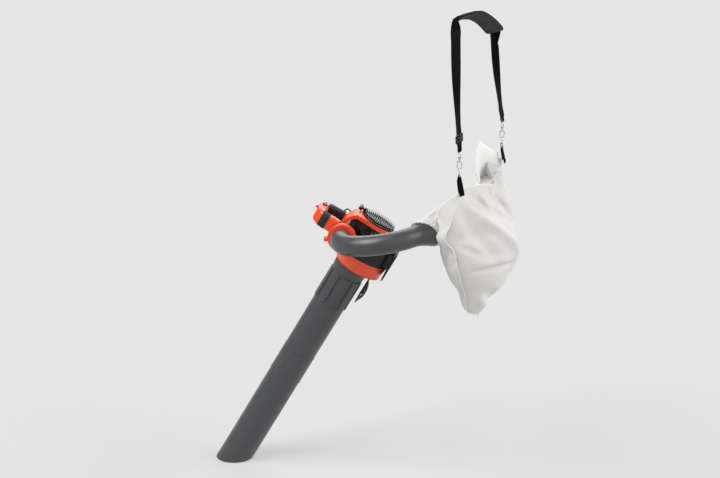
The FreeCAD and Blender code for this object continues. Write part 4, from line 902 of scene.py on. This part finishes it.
def panel_mesh(name, points, closed=False):
    """Mesh of a cloth grid; closed joins its last column to its first."""
    rows, columns = points.shape[:2]
    place = panel_place(points.reshape(-1, 3))
    faces = grid_faces(rows, columns, closed=closed)
    if closed:
        faces = [face[::-1] for face in faces]
    return new_mesh(name, points.reshape(-1, 3), faces, place[:, [0, 2, 1]])


def grid_index(points):
    """Each grid point's number in its mesh."""
    return np.arange(points.shape[0] * points.shape[1]).reshape(points.shape[:2])


def make_bag():
    outer = outer_panel()
    inner = inner_panel(outer)
    front = piece(panel_mesh("bag_outer_panel", outer), "bag_cloth", body=None)
    index = grid_index(outer)
    edge = np.concatenate([index[0], index[CREST_ROW:].ravel(), index[:, 0], index[:, -1]])
    settle(front, np.unique(edge), SETTLE_OUTER)
    back = piece(panel_mesh("bag_inner_panel", inner, closed=True), "bag_cloth", body=None)
    index = grid_index(inner)
    free = np.clip(np.arange(len(inner)) / SLEEVE_ROWS, 0.05, 1)
    settle(back, np.concatenate([index[0], index[1], index[-1]]), np.repeat(free * SETTLE_INNER, NECK_SIDES))
    keep_off_elbow(back)
    # The standing fold is the bag's own cloth painted paler: painted light, standing in for the glow of light
    # shining through it
    lit_flap_cloth = bag_cloth("bag_cloth_painted_lit", colour(247, 247, 245))
    flap = piece(panel_mesh("bag_standing_fold", standing_flap(), closed=True), "bag_cloth", None, lit_flap_cloth)
    for panel in (front, back, flap):
        finish_cloth(panel)
        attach(panel, "machine")
    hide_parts("bag")
    sides = outer[:CREST_ROW + 1]
    seams = [("near", sides[:, 0], -ACROSS), ("far", sides[:, -1], ACROSS), ("bottom", outer[0], -UP)]
    for name, line, outward in seams:
        piece(seam_fin(f"bag_{name}_seam", line, outward), "bag_cloth")
    hem = np.concatenate([inner[0], inner[0][:2]])
    piece(tube_mesh("bag_neck_hem", hem, 0.0021), "bag_cloth")


# ---- webbing loops on the bag ----
LOOP_WIDTH = 0.019
WEB_THICK = 0.0016
RING_RISE = 0.068  # ring's middle above the bag's corner
RING_R = 0.012
RING_ALONG = np.array([0.0, 1.0, 0.0])
NEAR_LOOP_WAY = np.array([0.90, 0.436, 0.0])
LOOP_SEWN = 0.016  # the loop is sewn down this far below the corner


def bag_loop(name, corner, facing):
    """Doubled webbing: round the ring, down to the bag's corner and sewn onto its outer panel."""
    low = np.array(corner + UP * (RING_RISE - RING_R))
    corner = np.array(corner)
    up = np.array(UP)
    right = np.array([1.0, 0.0, 0.0])
    front = np.cross(facing, up)
    foot = corner + right * 0.010 - up * LOOP_SEWN + front * 0.004
    # place along it, from where, rise, right, front, how far it has turned to the ring, and width share
    rows = [(0.0, foot, 0, 0, 0, 0, 1.0), (0.16, corner, 0, 0.007, 0.0045, 0, 1.0),
            (0.40, low, -0.026, 0.0035, 0.001, 0, 0.86), (0.56, low, -0.008, 0.0032, 0, 0.5, 0.66),
            (0.64, low, -0.001, 0.0028, 0, 1, 0.55), (0.68, low, 0.0032, 0, 0, 1, 0.52),
            (0.72, low, -0.001, -0.0028, 0, 1, 0.55), (0.80, low, -0.008, -0.0022, 0, 0.5, 0.66),
            (0.90, low, -0.026, 0.001, -0.001, 0, 0.86), (1.0, corner, -0.004, 0.006, 0.001, 0, 1.0)]
    stations = []
    for place, start, rise, side, lift, turned, width in rows:
        centre = start + up * rise + right * side + front * lift
        stations.append((place, centre, facing * (1 - turned) + RING_ALONG * turned, width))
    made = piece(band_mesh(name, stations, LOOP_WIDTH, WEB_THICK, 110), "webbing")
    bar = [foot + front * 0.0011 + facing * x + up * (0.004 + 0.010 * (k % 2))
           for k, x in enumerate(np.linspace(-0.0075, 0.0075, 9))]
    piece(stitch_mesh(name + "_stitches", bar, [front] * len(bar), 0.0022), "webbing")
    return made


# ---- shoulder strap ----
STRAP_WIDTH = 0.038
TWIST_FROM = 0.16  # a leg turns from its foot's way to the pad's over this share of it
TWIST_OVER = 0.60
LEG_BEND = 0.0045  # how far a leg bows
FOOT_WAY = np.array([-0.3, 0.95, 0.0])
NEAR_TOP = np.array([0.470, -0.100, 0.692])
FAR_TOP = np.array([0.616, 0.064, 0.620])
NEAR_TOP_WAY = np.array([-0.755, 0.656, 0.0])
FAR_TOP_WAY = np.array([-0.66, 0.75, 0.0])
PAD_WIDTH = 0.064
PAD_THICK = 0.010
# the pad's near edge, and its way across from there: it arrives edge on and rolls under towards its far end
PAD_EDGE = [(0, (0.473, -0.128, 0.717)), (0.17, (0.5, -0.112, 0.725)), (0.32, (0.527, -0.092, 0.73)),
            (0.48, (0.555, -0.07, 0.731)), (0.66, (0.584, -0.04, 0.713)), (0.82, (0.611, -0.008, 0.688)),
            (1, (0.64, 0.03, 0.654))]
PAD_ACROSS = [(0, (-0.1, 0.94, -0.33)), (0.17, (-0.14, 0.93, -0.34)), (0.32, (-0.28, 0.84, -0.46)),
              (0.48, (-0.47, 0.69, -0.55)), (0.66, (-0.47, 0.68, -0.56)), (0.82, (-0.52, 0.63, -0.57)),
              (1, (-0.66, 0.55, -0.5))]


def strap_leg(name, hook, pad_end, top_across, join, doubled):
    """One leg: a doubled fold through the strap's eye, then up, turning from its foot's way to the pad's."""
    foot = np.array(hook + UP * EYE_RISE)
    reach = np.linalg.norm(pad_end - foot)
    way = (pad_end - foot) / reach
    low_side = square_to(FOOT_WAY, way)
    top_side = square_to(top_across, way)
    off = np.cross(way, low_side)
    # distance from the fold along the webbing, distance up the leg, offset from its middle, and width share
    tail = [(doubled, doubled, 0.00085, 1.0), (doubled / 2, doubled / 2, 0.0009, 1.0),
            (0.014, 0.014, 0.0022, 0.62), (0.003, 0.001, 0.0031, 0.42)]
    stations = []
    for run, up, apart, width in tail:
        stations.append((doubled - run, foot + way * up + off * apart, low_side, width))
    stations.append((doubled, foot - way * 0.0032, low_side, 0.40))
    for run, up, apart, width in tail[:0:-1]:
        stations.append((doubled + run, foot + way * up - off * apart, low_side, width))
    for share in (0.20, 0.28, 0.36, 0.44, 0.52, 0.60, 0.68, 0.76, 0.86):
        turned = low_side + (top_side - low_side) * eased((share - TWIST_FROM) / TWIST_OVER)
        slack = off * (LEG_BEND * math.sin(math.pi * share) - 0.0009)
        stations.append((doubled + reach * share, foot + way * reach * share + slack, turned, 1.0))
    top = doubled + reach * 0.97
    stations.append((top, pad_end - way * 0.012, top_side, 1.0))
    stations += [(top + offset, place, way_across, 1.0) for offset, place, way_across in join]
    return piece(band_mesh(name, stations, STRAP_WIDTH, WEB_THICK, 260), "webbing")


PAD_SAMPLES = 90
PAD_COLUMNS = 26
PAD_ROUND = 0.045  # share of the pad's length over which each end rounds off
PAD_CHANNEL = 0.70  # the sewn channels' place, as a share of the half width
PAD_RUN = 0.25  # length that the pad's weave is laid out over


def pad_frames():
    """Places along the pad, its centre line, width directions and outward normals."""
    places = np.linspace(0, 1, PAD_SAMPLES)
    across = unit(track(PAD_ACROSS, places))
    centres = track(PAD_EDGE, places) + across * (PAD_WIDTH / 2)
    return places, centres, *path_frames(centres, across)


def pad_ends(places):
    """How far the round ends have opened, 0 to 1, and the pad's half width."""
    opened = np.clip(np.minimum(places, 1 - places) / PAD_ROUND, 0.0, 1) ** 0.5
    return opened, PAD_WIDTH / 2 * (0.80 + 0.20 * opened)


def pad_face(name, sign, paint=None):
    """Crowned face of the pad, on its outer side (sign 1) or its shoulder side (-1), with sewn channels."""
    places, centres, across, normal = pad_frames()
    opened, half = pad_ends(places)
    points = []
    cloth = []
    for i, place in enumerate(places):
        crumple = 0.0011 * math.exp(-((place - 0.62) / 0.22) ** 2) * (sign < 0)
        for x in np.linspace(-1, 1, PAD_COLUMNS):
            plump = (1 - abs(x) ** 3.0) * opened[i]
            channel = math.exp(-((abs(x) - PAD_CHANNEL) / 0.055) ** 2) * 0.45
            wrinkle = crumple * math.sin(place * 60 + x * 4)
            lift = sign * (0.0012 + PAD_THICK / 2 * plump * (1 - channel) + wrinkle)
            points.append(centres[i] + across[i] * (x * half[i]) + normal[i] * lift)
            cloth.append((x * half[i], place * PAD_RUN, sign))
    faces = grid_faces(PAD_SAMPLES, PAD_COLUMNS)
    if sign < 0:
        faces = [face[::-1] for face in faces]
    return piece(new_mesh(name, points, faces, cloth), "pad_cloth", None, paint)


def make_shoulder_pad():
    lining = webbing("pad_lining", colour(62, 63, 65), pitch=0.0016, rough=0.8)
    shell = pad_face("shoulder_pad_shell", 1)
    under = pad_face("shoulder_pad_lining", -1, lining)
    for face in (shell, under):
        finish_cloth(face)
        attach(face, "machine")
    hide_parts("shoulder_pad")
    places, centres, across, normal = pad_frames()
    half = pad_ends(places)[1][:, None]
    left = centres + across * half
    right = (centres - across * half)[::-1]
    edge = np.concatenate([left, right, left[:2]])
    piece(tube_mesh("shoulder_pad_binding", edge, 0.0022), "webbing")
    for side, end in ((-1, "left"), (1, "right")):
        row = centres + across * (half * PAD_CHANNEL * side) + normal * 0.0042
        piece(stitch_mesh("shoulder_pad_stitches_" + end, row[3:-3], normal[3:-3], 0.0034), "webbing")
    top = [(places[i], centres[i] + normal[i] * 0.0072, across[i], 1.0) for i in range(0, PAD_SAMPLES, 6)]
    piece(band_mesh("strap_over_pad", top, STRAP_WIDTH, WEB_THICK, 120), "webbing")
    return centres, across, normal


def make_strap():
    centres, across, normal = make_shoulder_pad()

    def onto_pad(ends):
        """Stations that run onto the pad: (distance past the leg, pad sample, lift)."""
        return [(run, centres[i] + normal[i] * lift, across[i]) for run, i, lift in ends]

    near_join = onto_pad([(0.020, 0, 0.003), (0.050, 7, 0.0068)])
    far_join = onto_pad([(0.016, -1, 0.0065), (0.044, -8, 0.0068)])
    near = strap_leg("strap_near_webbing", NEAR_HOOK, NEAR_TOP, NEAR_TOP_WAY, near_join, 0.072)
    far = strap_leg("strap_far_webbing", FAR_HOOK, FAR_TOP, FAR_TOP_WAY, far_join, 0.045)
    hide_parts("strap_near")
    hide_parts("strap_far")


# ---- starter rope ----
ROPE_R = 0.0019
ROPE_HALF_TURNS = 9
ROPE_SAMPLES = 60


def make_starter_rope():
    """Braided rope from the starter's eye to its handle."""
    start = machine_point(-0.052, 0.014, 0.172)
    end = machine_point(-0.0755, 0.014, 0.172)
    line = np.array([start.lerp(end, i / (ROPE_SAMPLES - 1)) for i in range(ROPE_SAMPLES)])
    way = (end - start).normalized()
    side = np.array(way.cross(UP).normalized())
    other = np.cross(np.array(way), side)
    strands = []
    for k in range(4):
        wound = np.linspace(0, ROPE_HALF_TURNS * math.pi, ROPE_SAMPLES) * (1 if k % 2 else -1)
        turn = wound + k * math.pi / 2
        offset = np.outer(np.cos(turn), side) + np.outer(np.sin(turn), other)
        strands.append(tube_mesh("strand", line + offset * ROPE_R * 0.55, ROPE_R * 0.62, 6))
    rope = piece(join_meshes("starter_rope", strands), "webbing", body=None)
    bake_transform(rope)


# ---- studio ----
AIM = Vector((0.14935, -0.05037, -0.08976))  # what the camera looks at
DISTANCE = 5.2
LOOK_DOWN = math.radians(19.5)
LENS = 72.83


def make_camera():
    data = bpy.data.cameras.new("camera")
    camera = add_object("camera", data)
    camera.location = AIM + Vector((0, -math.cos(LOOK_DOWN), math.sin(LOOK_DOWN))) * DISTANCE
    camera.rotation_euler = (math.pi / 2 - LOOK_DOWN, 0, 0)
    data.lens = LENS
    data.sensor_width = 36
    data.clip_end = 200
    bpy.context.scene.camera = camera


def soft_sun(name, azimuth, height, strength, spread):
    """Broad light from a compass direction, 0 from the camera's side and 90 from the right."""
    data = bpy.data.lights.new(name, "SUN")
    data.energy = strength
    data.angle = math.radians(spread)
    sun = add_object(name, data)
    turn, lift = math.radians(azimuth), math.radians(height)
    toward = Vector((math.sin(turn) * math.cos(lift), -math.cos(turn) * math.cos(lift), math.sin(lift)))
    sun.rotation_euler = toward.to_track_quat("Z", "Y").to_euler()


WORLD_LIGHT = 0.27  # what the surroundings shed on the object
WORLD_SEEN = 0.79  # how pale they look behind it, the same as the floor
FLOOR_GLOW = 0.446  # the floor glows a little, which keeps its shadows pale
FLOOR_HALF = 40.0
# name, direction, height above the floor, strength, and how broad it is, angles in degrees
LIGHTS = [("key_light", -72, 52, 3.5, 42), ("side_light", 88, 26, 2.7, 46), ("back_light", 172, 30, 1.6, 50),
          ("front_light", 30, 8, 0.6, 60)]


def make_studio():
    world = bpy.data.worlds.new("studio")
    world.use_nodes = True
    tree = world.node_tree
    backdrop = tree.nodes["Background"]
    backdrop.inputs["Color"].default_value = (1, 1, 1, 1)
    seen = tree.nodes.new("ShaderNodeLightPath")
    level = tree.nodes.new("ShaderNodeMapRange")
    level.inputs["To Min"].default_value = WORLD_LIGHT
    level.inputs["To Max"].default_value = WORLD_SEEN
    tree.links.new(seen.outputs["Is Camera Ray"], level.inputs["Value"])
    tree.links.new(level.outputs["Result"], backdrop.inputs["Strength"])
    bpy.context.scene.world = world
    bpy.context.scene.view_settings.view_transform = "Standard"
    for light in LIGHTS:
        soft_sun(*light)
    corners = [(x * FLOOR_HALF, y * FLOOR_HALF, FLOOR_Z) for x, y in ((-1, -1), (1, -1), (1, 1), (-1, 1))]
    mesh = new_mesh("floor", corners, [(0, 1, 2, 3)], smooth=False)
    floor = add_object("floor", mesh)
    paint = Paint("floor")
    tone = colour(120, 120, 120)
    paint.set("Base Color", paint.mix(paint.noise(0.4, 2), shade(tone, 0.995), shade(tone, 1.005)))
    paint.set("Roughness", 0.9)
    paint.set("Specular IOR Level", 0.0)
    paint.set("Emission Color", (1, 1, 1, 1))
    paint.set("Emission Strength", FLOOR_GLOW)
    mesh.materials.append(paint.material)


finish_cad_nodes()
make_camera()
make_studio()
make_bag()
near_loop = bag_loop("bag_loop_near", NEAR_CORNER, NEAR_LOOP_WAY)
bag_loop("bag_loop_far", FAR_CORNER, np.array(ACROSS))
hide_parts("bag_loops")
make_strap()
make_starter_rope()
